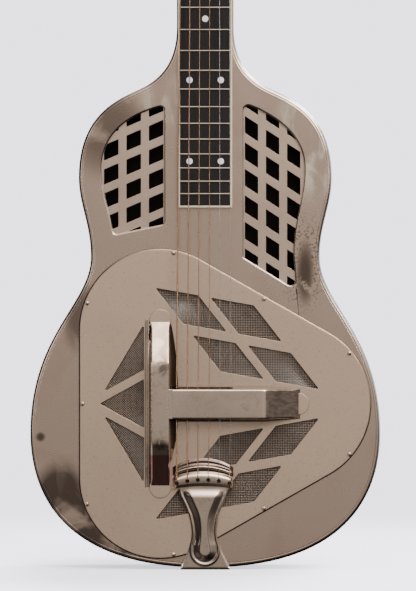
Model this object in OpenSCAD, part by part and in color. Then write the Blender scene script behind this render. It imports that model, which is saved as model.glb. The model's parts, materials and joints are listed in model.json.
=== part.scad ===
/* [Body] */
// Width across the lower bout
lower_bout_width = 354; // [340:1:430]
// Width across the waist
waist_width = 231.4; // [200:1:280]
// Width across the upper bout
upper_bout_width = 256; // [245:1:310]
// Depth from the front of the top plate to the rear of the back plate
body_depth = 82; // [70:1:100]
// Thickness of the body's sheet metal
sheet = 1; // [0.8:0.1:1.4]
// Height of the widest place of the lower bout above the tail end
lower_bout_z = 138; // [130:1:150]
// Height of the waist
waist_z = 316.5; // [312:1:325]
// Height of the widest place of the upper bout
upper_bout_z = 396.5; // [390:1:405]
// Height of the middle of the shoulder, where its curve turns inside out
shoulder_z = 485.5; // [480:1:492]
// Half width of the body at the middle of the shoulder
shoulder_x = 66.9; // [60:1:75]
// Slope of the shoulder there, in degrees
shoulder_slope = 24.9; // [20:0.1:30]

/* [Neck] */
// Length of the open strings, from saddle to nut
scale_length = 635; // [600:1:700]
// Width of the square neck
neck_width = 57.4; // [56:0.1:64]
// Depth of the square neck
neck_depth = 44; // [38:1:54]
// Height at which the shoulder has become the neck
neck_join_z = 550; // [545:1:560]
// Width of the fretboard over its binding
board_width = 54.4; // [52:0.1:56]
// Thickness of the fretboard
board_thickness = 5.4; // [4:0.1:7]
// Width of the binding strip round the fretboard
binding_width = 1.7; // [1:0.1:2.5]
// Number of frets
fret_count = 19; // [17:1:19]
// Width of a fret's crown
fret_width = 2.2; // [1.6:0.1:2.8]
// Height of a fret's crown above the board
fret_height = 1; // [0.7:0.1:1.4]
// Diameter of the pearl position dots
dot_diameter = 6.3; // [4:0.1:7]
// Thickness of the nut along the strings
nut_thickness = 5; // [4:0.5:7]

/* [Headstock] */
// Length of the headstock along its own face
head_length = 178; // [172:1:215]
// Width of the headstock where it leaves the neck
head_base_width = 60; // [58:1:66]
// Width of the headstock at its top
head_top_width = 68; // [66:1:76]
// Thickness of the headstock with its overlay
head_thickness = 17; // [15:0.5:22]
// Backward tilt of the headstock, in degrees
head_tilt = 12; // [8:0.5:15]
// Thickness of the overlay on the headstock's face
overlay = 1.5; // [1:0.1:2.5]
// Width of each string slot
slot_width = 14; // [12:0.5:15]
// Width of the solid wood between the slots
slot_bridge = 18; // [16:1:20]
// Distance between tuners on one side
tuner_pitch = 38; // [36:1:45]
// Diameter of a string roller in the slot
roller_diameter = 9; // [7:0.1:10]
// Diameter of the roller's shaft in the wood
shaft_diameter = 5.6; // [4:0.1:6.5]
// Number of teeth on a tuner gear
gear_teeth = 14; // [12:1:16]
// Mean radius of a tuner gear
gear_radius = 5.8; // [5:0.1:6.6]
// Length of a key's worm thread
worm_length = 9.4; // [8:0.1:11]
// Width of a key's button
button_width = 15; // [12:0.5:17]

/* [Resonators] */
// Height of the saddle above the tail end
bridge_z = 167.6; // [160:0.1:175]
// Diameter of a resonator cone
cone_diameter = 144; // [120:1:146]
// Height of a cone from its rim to its top
cone_height = 18; // [12:0.5:20]
// Distance between the two cones on the bass side
cone_spacing = 149.2; // [149:0.1:152]
// Distance from the bass cones' line to the treble cone
cone_reach = 131; // [130:0.1:134]
// Distance of the bass cones' line from the centre line
cone_offset = 45.4; // [43:0.1:48]
// Depth of the well below the top plate's rear face
well_depth = 20; // [16:0.5:26]
// Corner radius of the cover plate
cover_radius = 82; // [80:0.5:84]
// Height of the cover plate above the top plate
cover_height = 2.6; // [2:0.1:5]

/* [Handrest] */
// Height of the handrest above the cover plate
rest_height = 18.4; // [16:0.1:24]
// Width of the flat crest of the upright bar
upright_width = 18.8; // [16:0.1:22]
// Width of the flat crest of the cross bar
cross_width = 30; // [24:0.1:36]

/* [Strings] */
// Distance between the outer strings at the nut
nut_spread = 47; // [44:0.5:50]
// Distance between the outer strings at the saddle
saddle_spread = 55; // [50:0.5:58]
// Distance between the outer strings at the tailpiece
tail_spread = 53; // [48:0.5:56]
// Height of the strings above the fretboard at the nut
nut_height = 9; // [7:0.5:10]
// Height of the strings above the cover plate at the saddle
saddle_height = 12.9; // [11:0.1:14]

/* [Tailpiece] */
// Thickness of the tailpiece's metal
tail_sheet = 1.6; // [1.2:0.1:2.2]
// Width of the tailpiece's foot
foot_width = 49.6; // [42:0.1:60]
// Narrowest width of the stem
stem_width = 25.4; // [20:0.1:32]
// Width of the tailpiece's head
tail_head_width = 61; // [58:0.1:63]
// Sideways offset of the tailpiece's head towards the bass side
tail_offset = 2.2; // [0:0.1:4]

/* [Grilles] */
// Width of the recess round each lattice, behind the opening's lip
lip_depth = 2.4; // [1.5:0.1:4]
// Thickness of a lattice
lattice_sheet = 1; // [0.8:0.1:1.6]

/* [Hidden] */
$fn = 48;

touch = 0.01;
half_depth = body_depth / 2;
bottom_z = tail_sheet;
nut_z = bridge_z + scale_length;
neck_end = nut_z + nut_thickness;
neck_rear = neck_depth - half_depth;
// Heights in front of the middle plane
board_front = half_depth + board_thickness;
cover_front = half_depth + cover_height;
rest_front = cover_front + rest_height;
nut_front = board_front + nut_height;
saddle_front = cover_front + saddle_height;
well_floor = half_depth - sheet - well_depth;
cone_top = well_floor + cone_height;
// Shape of the body's curves: how far each stretch keeps its direction
tail_pull = 0.844;
lower_pull = [56.2, 100.8];
waist_pull = [48.1, 31.8];
upper_pull = [27.1, 64.1];
shoulder_pull = [23.4, 25.4];
neck_pull = 36.3;
// Heel, where the back plate sweeps up to the neck
heel_start = 478;
heel_end = 604;
heel_pull = 52;
back_seam = neck_join_z + 12;

flange_front = half_depth - sheet;
lip = 1;
lip_back = flange_front - lip_depth;
screw_radius = cover_radius - 3.2;
screw_turn = 20;
well_margin = 3;
well_flange = 9.4;
cone_seat = 4;
cone_sheet = 0.6;
crown_radius = 13;
bar_width = 8;
bar_top = cover_front + 0.6;
foot_radius = 9;
foot_height = 1.4;
saddle_half = 33;
saddle_thickness = 6;
saddle_crest = 2;
cover_rim = 1.2;
screw_hole = 3;
slot_gap = 1.5;
screen_sheet = 0.5;
screw_head = 2.2;
rest_flange = 0.8;
upright_x = -cone_offset;
upright_foot = [-58.6, -32.8];
upright_run = 84.4;
upright_flat = 41.6;
cross_foot_half = 18.4;
cross_flat_end = 60.2;
cross_end = 98;
tab_radius = 11;
window_half = saddle_spread / 2 + 2.4;
string_radii = [0.71, 0.56, 0.45, 0.34, 0.23, 0.2];
string_middle_saddle = -1.5;
string_gap = 0.3;
head_rise = 4.4;
head_ridge = 1.8;
keyhole_z = 91;
keyhole_radius = 2.1;
tail_head_low = 84.6;
tail_head_high = 113;
tail_screw_x = [-15, 15];
tail_screw_y = -12;
tail_screw_shank = 1.4;
tail_screw_head = 2.8;
tail_screw_tip = 15;
foot_rear = 10;
tail_rest_y = cover_front + 0.4;
tail_ridge = cover_front + 0.4 + tail_sheet + head_rise + head_ridge;
first_roller = 46;
roller_y = head_thickness / 2;
string_hole = 0.9;
slot_low = 26;
slot_high = first_roller + 2 * tuner_pitch + 14;
head_run = 34;
shaft_fit = 0.05;
shaft_end = 7;
head_half = head_top_width / 2;
board_lip = 1.6125;
board_end = fret_z(fret_count + 1) - board_lip;
tang_width = 0.5;
tang_depth = 1.8;
dot_depth = 1.2;
core_half = board_width / 2 - binding_width;
post_radius = 6;
brace_z = [118, 217];
gear_bore = 2;
seat_fit = 0.02;
plate_sheet = 1.2;
plate_half = 5.4;
plate_face = head_half + plate_sheet;
gear_gap = 0.35;
gear_width = 3;
worm_core = 2;
worm_throw = 0.2;
gear_middle = plate_face + worm_core + worm_throw + gear_gap;
gear_face = gear_middle - gear_width / 2;
mesh_gap = 0.6;
worm_pitch = 2 * PI * gear_radius / gear_teeth;
worm_centre = gear_radius + worm_core + mesh_gap;
worm_shaft = 1.45;
ear_thickness = 1.4;
ear_gap = 0.3;
ear_radius = 3.2;
ear_front = roller_y - worm_length / 2 - ear_gap;
ear_rear = roller_y + worm_length / 2 + ear_gap;
key_reach = head_thickness + 7;
plate_low = first_roller - 13;
plate_high = first_roller + 2 * tuner_pitch + 18;
plate_screws = [plate_low + 3.4, first_roller + tuner_pitch - 14, first_roller + 2 * tuner_pitch - 14,
    plate_high - 3.4];

// ---------------------------------------------------------------- curves
function unit(v) = v / norm(v);
function bezier(a, b, c, d, n) =
    [for (i = [0:n - 1]) let (t = i / n, s = 1 - t) s*s*s*a + 3*s*s*t*b + 3*s*t*t*c + t*t*t*d];
function flip(points) = [for (i = [len(points) - 1:-1:0]) [-points[i].x, points[i].y]];
// A closed outline moved inwards; a negative distance moves it outwards
function inset(p, d) = [for (i = [0:len(p) - 1])
    let (n = len(p), t = unit(p[(i + 1) % n] - p[(i + n - 1) % n])) p[i] + d * [-t.y, t.x]];
// Corners of a closed outline rounded to the radii
function arc_corner(a, p, b, r, n) =
    r == 0 ? [p] :
    let (u = unit(a - p), w = unit(b - p), half = acos(u * w) / 2,
         centre = p + unit(u + w) * r / sin(half), start = p + u * r / tan(half),
         first = atan2(start.y - centre.y, start.x - centre.x),
         sweep = (cross(u, w) < 0 ? 1 : -1) * (180 - 2 * half))
    [for (i = [0:n]) centre + r * [cos(first + sweep * i / n), sin(first + sweep * i / n)]];
function softened(p, n = 5) = [for (i = [0:len(p) - 1])
    let (m = len(p), q = p[i], a = p[(i + m - 1) % m], b = p[(i + 1) % m])
    each arc_corner([a.x, a.y], [q.x, q.y], [b.x, b.y], len(q) > 2 ? q.z : 0, n)];

// Half outline of body and neck, from the tail up the treble side
function half_outline(top) =
    let (lower = [lower_bout_width / 2, lower_bout_z], waist = [waist_width / 2, waist_z],
         upper = [upper_bout_width / 2, upper_bout_z], shoulder = [shoulder_x, shoulder_z],
         along = [-cos(shoulder_slope), sin(shoulder_slope)], join = [neck_width / 2, neck_join_z])
    concat(
        bezier([0, bottom_z], [tail_pull * lower.x, bottom_z], lower - [0, lower_pull[0]], lower, 16),
        bezier(lower, lower + [0, lower_pull[1]], waist - [0, waist_pull[0]], waist, 14),
        bezier(waist, waist + [0, waist_pull[1]], upper - [0, upper_pull[0]], upper, 8),
        bezier(upper, upper + [0, upper_pull[1]], shoulder - shoulder_pull[0] * along, shoulder, 12),
        bezier(shoulder, shoulder + shoulder_pull[1] * along, join - [0, neck_pull], join, 12),
        [join, [join.x, top]]);
function outline(top) = let (h = half_outline(top), n = len(h))
    concat(h, [for (i = [n - 1:-1:1]) [-h[i].x, h[i].y]]);
body_outline = outline(neck_end);
// The walls' inner side runs on past the neck's open end
inner_outline = inset(outline(neck_end + 20), sheet);

// Rear profile of the body and neck as points in Y and Z, moved forwards by a wall
function rear_line(wall) =
    let (sweep = bezier([half_depth, heel_start], [half_depth, heel_start + heel_pull],
                        [neck_rear, heel_end - heel_pull], [neck_rear, heel_end], 14),
         n = len(sweep))
    concat([[half_depth - wall, -5], [half_depth - wall, heel_start]],
           [for (i = [1:n - 1]) let (t = unit(sweep[(i + 1) % n] - sweep[i - 1]))
               i == n - 1 ? sweep[i] - [wall, 0] : sweep[i] + wall * [-t.y, t.x]],
           [[neck_rear - wall, heel_end], [neck_rear - wall, neck_end + 20]]);

// Cone centres, counter-clockwise seen from the front
cone_centres = [
    [-cone_offset, bridge_z - cone_spacing / 2],
    [cone_reach - cone_offset, bridge_z],
    [-cone_offset, bridge_z + cone_spacing / 2]];
function edge_angle(i) = let (d = cone_centres[(i + 1) % 3] - cone_centres[i % 3]) atan2(-d.x, d.y);
function after(a, b) = b < a ? b + 360 : b;
// Rounded triangle round the three cones
function trefoil(r, n = 14) = [for (i = [0:2])
    let (first = edge_angle(i + 2), last = after(first, edge_angle(i)))
    each [for (k = [0:n]) let (a = first + (last - first) * k / n) cone_centres[i] + r * [cos(a), sin(a)]]];
function screw_points() = [for (i = [0:2])
    let (first = edge_angle(i + 2), last = after(first, edge_angle(i)), c = cone_centres[i],
         side = (c + cone_centres[(i + 1) % 3]) / 2, a = edge_angle(i))
    each [for (t = [first + screw_turn, last - screw_turn]) c + screw_radius * [cos(t), sin(t)],
          side + screw_radius * [cos(a), sin(a)]]];

// A flat shape in X and Z, its rear face at the given height in front of the middle plane
module front(height, thickness) {
    translate([0, -height, 0]) rotate([90, 0, 0]) linear_extrude(thickness) children();
}
// A flat shape in Y and Z, run along X
module across(x0, x1) {
    translate([x0, 0, 0]) rotate([90, 0, 90]) linear_extrude(x1 - x0) children();
}
module box(x0, x1, y0, y1, z0, z1) {
    translate([x0, y0, z0]) cube([x1 - x0, y1 - y0, z1 - z0]);
}

// ---------------------------------------------------------------- body
// Grille openings, counter-clockwise from a lower inner corner; a third number rounds that corner
bass_opening = softened(concat(
    [[-41.1, 349.4, 4], [-41.1, 469.4, 4]],
    bezier([-52, 466.4], [-81, 457.5], [-105.1, 438], [-105.1, 404.3], 12),
    bezier([-105.1, 404.3], [-105.1, 385], [-96.4, 360], [-94.8, 349], 6),
    [[-94.8, 349], [-92.6, 338.4, 4]]));
treble_opening = softened(concat(
    [[38.7, 315.6, 3], [92.4, 282.4, 5], [91.4, 292]],
    bezier([90.9, 300], [90.4, 307], [89.5, 314], [89.5, 321], 3),
    bezier([89.5, 321], [89.5, 350], [100.8, 376], [100.8, 404.2], 8),
    bezier([100.8, 404.2], [100.8, 436], [78, 452.6], [61, 461.7], 10),
    [[61, 461.7], [54, 465.7], [38.7, 471.6, 5]]));

module top_plate() {
    color("tan") difference() {
        union() {
            front(flange_front, sheet) polygon(body_outline);
            for (hole = [bass_opening, treble_opening])
                front(lip_back, lip_depth) polygon(inset(hole, -lip));
        }
        for (hole = [bass_opening, treble_opening])
            front(lip_back - 1, lip_depth + sheet + 2) polygon(hole);
        front(flange_front - 1, sheet + 2) polygon(trefoil(cone_diameter / 2 + well_margin));
        for (p = screw_points())
            front(flange_front - 1, sheet + 2) translate(p) circle(screw_hole / 2);
    }
}
module side_wall(sign) {
    intersection() {
        difference() {
            front(-half_depth, body_depth - sheet) polygon(body_outline);
            front(-half_depth - 1, body_depth + 2) polygon(inner_outline);
            tail_screw_holes();
        }
        across(-lower_bout_width, lower_bout_width)
            polygon(concat([[-flange_front, neck_end + 20], [-flange_front, -5]], rear_line(sheet)));
        box(sign > 0 ? 0 : -lower_bout_width, sign > 0 ? lower_bout_width : 0,
            -body_depth, body_depth, -5, neck_end);
    }
}
module side_bass() { color("tan") side_wall(-1); }
module side_treble() { color("tan") side_wall(1); }
module rear_skin(z0, z1) {
    rear = rear_line(0);
    fore = rear_line(sheet);
    intersection() {
        across(-lower_bout_width, lower_bout_width)
            polygon(concat(rear, [for (i = [len(fore) - 1:-1:0]) fore[i]]));
        front(-half_depth - 1, body_depth + 2) polygon(body_outline);
        box(-lower_bout_width, lower_bout_width, -body_depth, body_depth, z0, z1);
    }
}
module back_plate() { color("tan") rear_skin(-5, back_seam); }
module neck_back() { color("tan") rear_skin(back_seam, neck_end); }
module tail_block() {
    color("burlywood") intersection() {
        difference() {
            front(sheet - half_depth, half_depth - sheet + well_floor - 3) polygon(inner_outline);
            tail_screw_holes();
        }
        box(-34, 34, -half_depth, half_depth, 0, 22);
    }
}
module neck_block() {
    fit = neck_width / 2 - sheet;
    color("burlywood")
        box(-fit, fit, -flange_front, neck_rear - sheet, neck_end - 42, neck_end);
}
module back_braces() {
    color("burlywood") for (z = brace_z)
        box(-120, 120, half_depth - sheet - 9, half_depth - sheet, z - 4, z + 4);
}
post_places = [
    [cone_reach / 3 - cone_offset, bridge_z],
    [-cone_offset - 67, bridge_z],
    [cone_reach * 0.6 - cone_offset, bridge_z + 95],
    [cone_reach * 0.6 - cone_offset, bridge_z - 95]];
module well_posts() {
    color("burlywood") for (p = post_places)
        front(sheet - half_depth, well_floor - sheet + half_depth - sheet) translate(p) circle(post_radius);
}

// ---------------------------------------------------------------- lattices
// Slanted windows in rows and columns:
// [first column, column step, row step, width, height, slope, first row]
bass_windows = [-102.3, 22.7, 24.4, 14.4, 15.2, 0.43, 316];
treble_windows = [40.1, 21.4, 26.8, 13.3, 17.2, -0.65, 307.5];
module windows(w) {
    for (i = [0:2], k = [0:7]) {
        x = w[0] + i * w[1];
        z = w[6] + k * w[2] + i * w[1] * w[5];
        rise = w[3] * w[5];
        polygon([[x, z], [x + w[3], z + rise], [x + w[3], z + rise + w[4]], [x, z + w[4]]]);
    }
}
module lattice(hole, w) {
    front(lip_back - lattice_sheet, lattice_sheet) difference() {
        polygon(inset(hole, -4));
        intersection() {
            polygon(inset(hole, 0.2));
            windows(w);
        }
    }
}
module lattice_bass() { color("gray") lattice(bass_opening, bass_windows); }
module lattice_treble() { color("gray") lattice(treble_opening, treble_windows); }

// ---------------------------------------------------------------- resonators
module sound_well() {
    r = cone_diameter / 2 + well_margin;
    color("silver") difference() {
        union() {
            front(flange_front - sheet, sheet) polygon(trefoil(r + well_flange));
            front(well_floor - sheet, well_depth + sheet - touch) polygon(trefoil(r + sheet));
        }
        front(well_floor, well_depth + 1) polygon(trefoil(r));
        for (c = cone_centres)
            front(well_floor - sheet - 1, sheet + 2)
                translate(c) circle(cone_diameter / 2 - cone_seat, $fn = 96);
        for (p = screw_points())
            front(flange_front - sheet - 1, sheet + 2) translate(p) circle(screw_hole / 2);
    }
}
module cone(place) {
    rim = cone_diameter / 2;
    flat = rim - cone_seat - 2;
    t = cone_sheet;
    color("lightgray") translate([place.x, -well_floor, place.y]) rotate([90, 0, 0])
        rotate_extrude($fn = 96) polygon([
            [0, cone_height], [0, cone_height - t], [crown_radius - 0.4, cone_height - t],
            [flat - 0.5, t], [flat - 0.5, 0], [rim, 0], [rim, t], [flat, t], [crown_radius, cone_height]]);
}
module cone_upper() { cone(cone_centres[2]); }
module cone_lower() { cone(cone_centres[0]); }
module cone_treble() { cone(cone_centres[1]); }

// A bar with round ends between two places
module slab(a, b, w) {
    d = b - a;
    translate(a) rotate(atan2(d.y, d.x)) {
        translate([0, -w / 2]) square([norm(d), w]);
        circle(w / 2);
        translate([norm(d), 0]) circle(w / 2);
    }
}
module tee(w) {
    slab(cone_centres[0], cone_centres[2], w);
    slab([-cone_offset, bridge_z], cone_centres[1], w);
}
module t_bridge() {
    color("gainsboro") {
        front(cone_top + foot_height, bar_top - cone_top - foot_height) tee(bar_width);
        for (c = cone_centres) front(cone_top, foot_height) translate(c) circle(foot_radius);
    }
}
module saddle() {
    color("peru") difference() {
        across(string_middle_saddle - saddle_half, string_middle_saddle + saddle_half) polygon([
            [-bar_top, bridge_z - saddle_thickness / 2], [-saddle_front + 4, bridge_z - saddle_thickness / 2],
            [-saddle_front, bridge_z - saddle_crest / 2], [-saddle_front, bridge_z + saddle_crest / 2],
            [-saddle_front + 4, bridge_z + saddle_thickness / 2], [-bar_top, bridge_z + saddle_thickness / 2]]);
        for (i = [0:5]) translate([saddle_point(i).x, -saddle_front, bridge_z - 5])
            cylinder(r = string_radii[i] + 0.05, h = 10);
    }
}

// ---------------------------------------------------------------- cover plate
// Diamonds: two sides' lengths and slopes, and the bars between diamonds
diamond_sides = [44.1, 46.1];
diamond_slopes = [-10.2, -52];
diamond_bars = [12.6, 14.9];
diamond_start = [-50.4, 117];
// Fan of triangles on the bass side
fan_edge = -62.2;
fan_tip = -106.3;
fan_bar = 10;
fan_half = 79.8;
fan_split = 24.4;
function heading(a) = [cos(a), sin(a)];
module upper_diamonds() {
    a = heading(diamond_slopes[0]);
    b = heading(diamond_slopes[1]);
    for (i = [0:1], k = [0:1]) {
        corner = diamond_start + i * (diamond_sides[0] + diamond_bars[0]) * a
            + k * (diamond_sides[1] + diamond_bars[1]) * b;
        polygon([corner, corner + diamond_sides[0] * a,
            corner + diamond_sides[0] * a + diamond_sides[1] * b, corner + diamond_sides[1] * b]);
    }
}
module fan() {
    polygon([[fan_edge, -fan_split], [fan_edge, fan_split], [fan_tip, 0]]);
    for (s = [-1, 1])
        polygon([[fan_edge, s * (fan_split + fan_bar)], [fan_edge, s * fan_half], [fan_tip + 4.2, s * 12.6]]);
}
module cover_cuts() {
    translate([0, bridge_z]) {
        upper_diamonds();
        mirror([0, 1]) upper_diamonds();
        fan();
    }
}
module cover_plate() {
    color("tan") difference() {
        front(half_depth, cover_height) polygon(trefoil(cover_radius));
        front(half_depth - 1, cover_height - sheet + 1) polygon(trefoil(cover_radius - cover_rim));
        front(half_depth, cover_height + 1) {
            cover_cuts();
            tee(bar_width + 2 * slot_gap);
        }
        for (p = screw_points()) front(half_depth, cover_height + 1) translate(p) circle(screw_hole / 2);
    }
}
module cover_screens() {
    z = bridge_z;
    color("dimgray") front(cover_front - sheet - screen_sheet, screen_sheet) difference() {
        union() {
            for (s = [-1, 1]) translate([0, z]) scale([1, s]) polygon([[-57, 121], [-4, 113], [56, 103],
                [126, 11], [70, 19], [-29, 81]]);
            translate([0, z]) polygon([[fan_edge + 3, -fan_half - 7], [fan_edge + 3, fan_half + 7],
                [fan_tip - 5, 6], [fan_tip - 5, -6]]);
        }
        tee(bar_width + 2 * slot_gap);
    }
}
module cover_screws() {
    shank = screw_hole / 2 - 0.2;
    color("silver") for (p = screw_points()) translate([p.x, -cover_front, p.y]) rotate([90, 0, 0]) {
        rotate_extrude($fn = 24) intersection() {
            translate([0, -1.4]) circle(screw_head + 0.6);
            square([screw_head, 3]);
        }
        translate([0, 0, -cover_height - 2 * sheet - 1.5])
            cylinder(r = shank, h = cover_height + 2 * sheet + 1.6, $fn = 24);
    }
}

// ---------------------------------------------------------------- handrest
// A hipped ridge between a foot and a crest, each [x0, x1, z0, z1]
module ridge(foot, crest, low, high) {
    intersection() {
        across(foot[0], foot[1])
            polygon([[-low, foot[2]], [-low, foot[3]], [-high, crest[3]], [-high, crest[2]]]);
        translate([0, 0, foot[2]]) linear_extrude(foot[3] - foot[2])
            polygon([[foot[0], -low], [foot[1], -low], [crest[1], -high], [crest[0], -high]]);
    }
}
module rest_form(wall, low) {
    high = rest_front - wall;
    up_low = upright_x - upright_width / 2;
    up_high = upright_x + upright_width / 2;
    ridge([upright_foot[0] + wall, upright_foot[1] - wall, bridge_z - upright_run + 2 * wall,
           bridge_z + upright_run - 2 * wall],
          [up_low + wall, up_high - wall, bridge_z - upright_flat, bridge_z + upright_flat], low, high);
    ridge([upright_x, cross_end - 2 * wall, bridge_z - cross_foot_half + wall,
           bridge_z + cross_foot_half - wall],
          [upright_x, cross_flat_end, bridge_z - cross_width / 2 + wall, bridge_z + cross_width / 2 - wall],
          low, high);
}
module handrest() {
    color("tan") difference() {
        union() {
            rest_form(0, cover_front);
            front(cover_front, rest_flange) {
                for (s = [-1, 1]) translate([upright_x, bridge_z + s * upright_run]) circle(tab_radius);
                translate([upright_foot[0] - 2.6, bridge_z - upright_run])
                    square([upright_foot[1] - upright_foot[0] + 5.2, 2 * upright_run]);
                translate([upright_x, bridge_z - cross_foot_half - 2])
                    square([cross_end - upright_x - 4, 2 * cross_foot_half + 4]);
                translate([cross_end - 4, bridge_z]) circle(tab_radius);
            }
        }
        rest_form(sheet, cover_front - 1);
        box(string_middle_saddle - window_half, string_middle_saddle + window_half,
            -rest_front + 2.6, -cover_front - 5.6, bridge_z - 24, bridge_z + 24);
    }
}

// ---------------------------------------------------------------- strings
function spaced(i, middle, spread) = middle + spread * (i / 5 - 0.5);
function nut_point(i) = [spaced(i, 0, nut_spread), -nut_front, neck_end];
function saddle_point(i) = [spaced(i, string_middle_saddle, saddle_spread), -saddle_front, bridge_z];
function tail_point(i) =
    [spaced(i, -tail_offset, tail_spread), -tail_ridge - string_radii[i], hole_z(i) + 3];
function hole_z(i) = keyhole_z - pow(spaced(i, 0, tail_spread), 2) / 200;
// Outer strings reach the nearest rollers, inner strings the farthest
function roller_step(i) = i < 3 ? i : 5 - i;
function side_of(i) = i < 3 ? -1 : 1;
function roller_z(i) = first_roller + tuner_pitch * roller_step(i);
function in_head(p) = [p.x, -half_depth + p.y * cos(head_tilt) + p.z * sin(head_tilt),
    neck_end - p.y * sin(head_tilt) + p.z * cos(head_tilt)];
function roller_point(i) = in_head([
    side_of(i) * (slot_bridge / 2 + slot_width * (0.74 - 0.22 * roller_step(i))),
    roller_y - roller_diameter / 2 - string_gap - string_radii[i], roller_z(i)]);
// A round bar along a path in planes of constant X slope, with flat ends
string_sides = 10;
module tube(path, r) {
    n = len(path);
    heads = [for (k = [0:n - 1]) unit(path[min(k + 1, n - 1)] - path[max(k, 1) - 1])];
    turns = [for (k = [0:n - 1]) k == 0 || k == n - 1 ? 1 :
        1 / sqrt((1 + unit(path[k + 1] - path[k]) * unit(path[k] - path[k - 1])) / 2)];
    points = [for (k = [0:n - 1])
        let (side = unit(cross(heads[k], [0, -1, 0])), up = cross(side, heads[k]))
        each [for (j = [0:string_sides - 1]) let (a = 360 * j / string_sides)
            path[k] + r * (cos(a) * side + sin(a) * turns[k] * up)]];
    polyhedron(points, concat(
        [[for (j = [0:string_sides - 1]) j]],
        [for (k = [0:n - 2], j = [0:string_sides - 1]) let (a = k * string_sides + j,
            b = k * string_sides + (j + 1) % string_sides) each [[a, a + string_sides, b + string_sides],
            [a, b + string_sides, b]]],
        [[for (j = [string_sides - 1:-1:0]) (n - 1) * string_sides + j]]));
}
function string_path(i) = [tail_point(i) + [0, 2.4, -3], tail_point(i), saddle_point(i), nut_point(i),
    roller_point(i)];
module strings() {
    for (i = [0:5]) color(i < 4 ? "peru" : "silver") tube(string_path(i), string_radii[i]);
}

// ---------------------------------------------------------------- tailpiece
// Half outline of foot and stem, and the lean of its middle line
stem_side = concat([[foot_width / 2, 0], [foot_width / 2 - 0.6, 5]],
    bezier([foot_width / 2 - 0.6, 5], [foot_width / 2 - 7, 17], [stem_width / 2 + 0.6, 26],
           [stem_width / 2, 37], 7),
    bezier([stem_width / 2, 37], [stem_width / 2 - 0.4, 55], [21, 66], [25.6, 82], 8),
    [[25.6, 88]]);
function lean(p) = [p.x - tail_offset * p.y / keyhole_z, p.y];
module tailpiece() {
    face = tail_rest_y;
    r_top = 55;
    color("silver") difference() {
        union() {
            // Foot, bend and stem
            intersection() {
                across(-foot_width, foot_width) polygon([[foot_rear, 0], [foot_rear, tail_sheet],
                    [-face, tail_sheet], [-face, 72], [-face - 2.4, 88], [-face - 2.4 - tail_sheet, 88],
                    [-face - tail_sheet, 72], [-face - tail_sheet, 2.4], [-face + 0.8, 0]]);
                front(-foot_rear - 1, 80) polygon(
                    [for (p = concat(stem_side, flip(stem_side))) lean(p)]);
            }
            // Head with its two raised ridges
            translate([-tail_offset, 0, 0]) {
                front(face + 2.4, head_rise - 2.4 + tail_sheet)
                    head_band(tail_head_low, tail_head_high, r_top);
                front(face + tail_sheet, head_rise + head_ridge) {
                    head_band(tail_head_high - 9.4, tail_head_high - 7, r_top);
                    head_band(tail_head_low + 7, tail_head_low + 13, 76);
                }
            }
            // Embossed rib on the stem
            front(face + tail_sheet - touch, 2.4) polygon([for (p = concat(
                [[0, 7.4]], bezier([0, 7.4], [7, 7.4], [11, 10], [11, 15], 5),
                bezier([11, 15], [11, 26], [6, 32], [6, 46], 6),
                bezier([6, 46], [6, 62], [14, 70], [17, 86], 6), [[17, 86]],
                flip(concat(bezier([0, 7.4], [7, 7.4], [11, 10], [11, 15], 5),
                bezier([11, 15], [11, 26], [6, 32], [6, 46], 6),
                bezier([6, 46], [6, 62], [14, 70], [17, 86], 6), [[17, 86]])))) lean(p)]);
        }
        for (i = [0:5]) front(face - 1, 20)
            translate([spaced(i, -tail_offset, tail_spread), hole_z(i)]) {
                circle(keyhole_radius);
                translate([-string_radii[i] - 0.1, 0]) square([2 * string_radii[i] + 0.2, 4.4]);
            }
        for (x = tail_screw_x) translate([x, tail_screw_y, -touch])
            cylinder(r1 = tail_screw_head, r2 = tail_screw_shank, h = tail_sheet + 2 * touch);
    }
}
// A band of the head between two heights, its ends lower than its middle
module head_band(low, high, r) {
    intersection() {
        translate([-tail_head_width / 2, low - 12]) square([tail_head_width, high - low + 12]);
        translate([0, high - r]) circle(r, $fn = 96);
        difference() {
            translate([-50, low - 20]) square([100, 80]);
            translate([0, low - 180]) circle(180, $fn = 180);
        }
    }
}
module tail_screw_holes() {
    for (x = tail_screw_x) translate([x, tail_screw_y, -1])
        cylinder(r = tail_screw_shank, h = tail_screw_tip + 1);
}
module tail_screws() {
    color("silver") for (x = tail_screw_x) translate([x, tail_screw_y, 0]) {
        cylinder(r1 = tail_screw_head, r2 = tail_screw_shank, h = tail_sheet);
        cylinder(r = tail_screw_shank, h = tail_screw_tip);
    }
}
module ball_ends() {
    color("gold") for (i = [0:5]) translate([tail_point(i).x, -tail_rest_y - tail_sheet - 1, hole_z(i)])
        rotate([90, 0, 0]) cylinder(r = keyhole_radius - 0.15, h = 2.6, $fn = 24);
}

// ---------------------------------------------------------------- fretboard
function fret_z(n) = bridge_z + scale_length / pow(2, n / 12);
// Dots as [space before this fret, half distance of a pair]
dots = [[5, 0], [7, 15.8], [9, 0], [12, 15.8], [17, 15.8]];
function dot_places() = [for (d = dots)
    let (z = (fret_z(d[0]) + fret_z(d[0] - 1)) / 2) each (d[1] == 0 ? [[0, z]] : [[-d[1], z], [d[1], z]])];
module fretboard() {
    color("black") difference() {
        box(-core_half, core_half, -board_front, -half_depth, board_end + binding_width, nut_z);
        for (n = [1:fret_count])
            box(-core_half - 1, core_half + 1, -board_front - 1, -board_front + tang_depth,
                fret_z(n) - tang_width / 2, fret_z(n) + tang_width / 2);
        for (p = dot_places())
            front(board_front - dot_depth, dot_depth + 1) translate(p) circle(dot_diameter / 2);
    }
}
module fretboard_binding() {
    color("ivory") difference() {
        box(-board_width / 2, board_width / 2, -board_front, -half_depth, board_end, nut_z);
        box(-core_half, core_half, -board_front - 1, -half_depth + 1, board_end + binding_width, nut_z + 1);
    }
}
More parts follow.
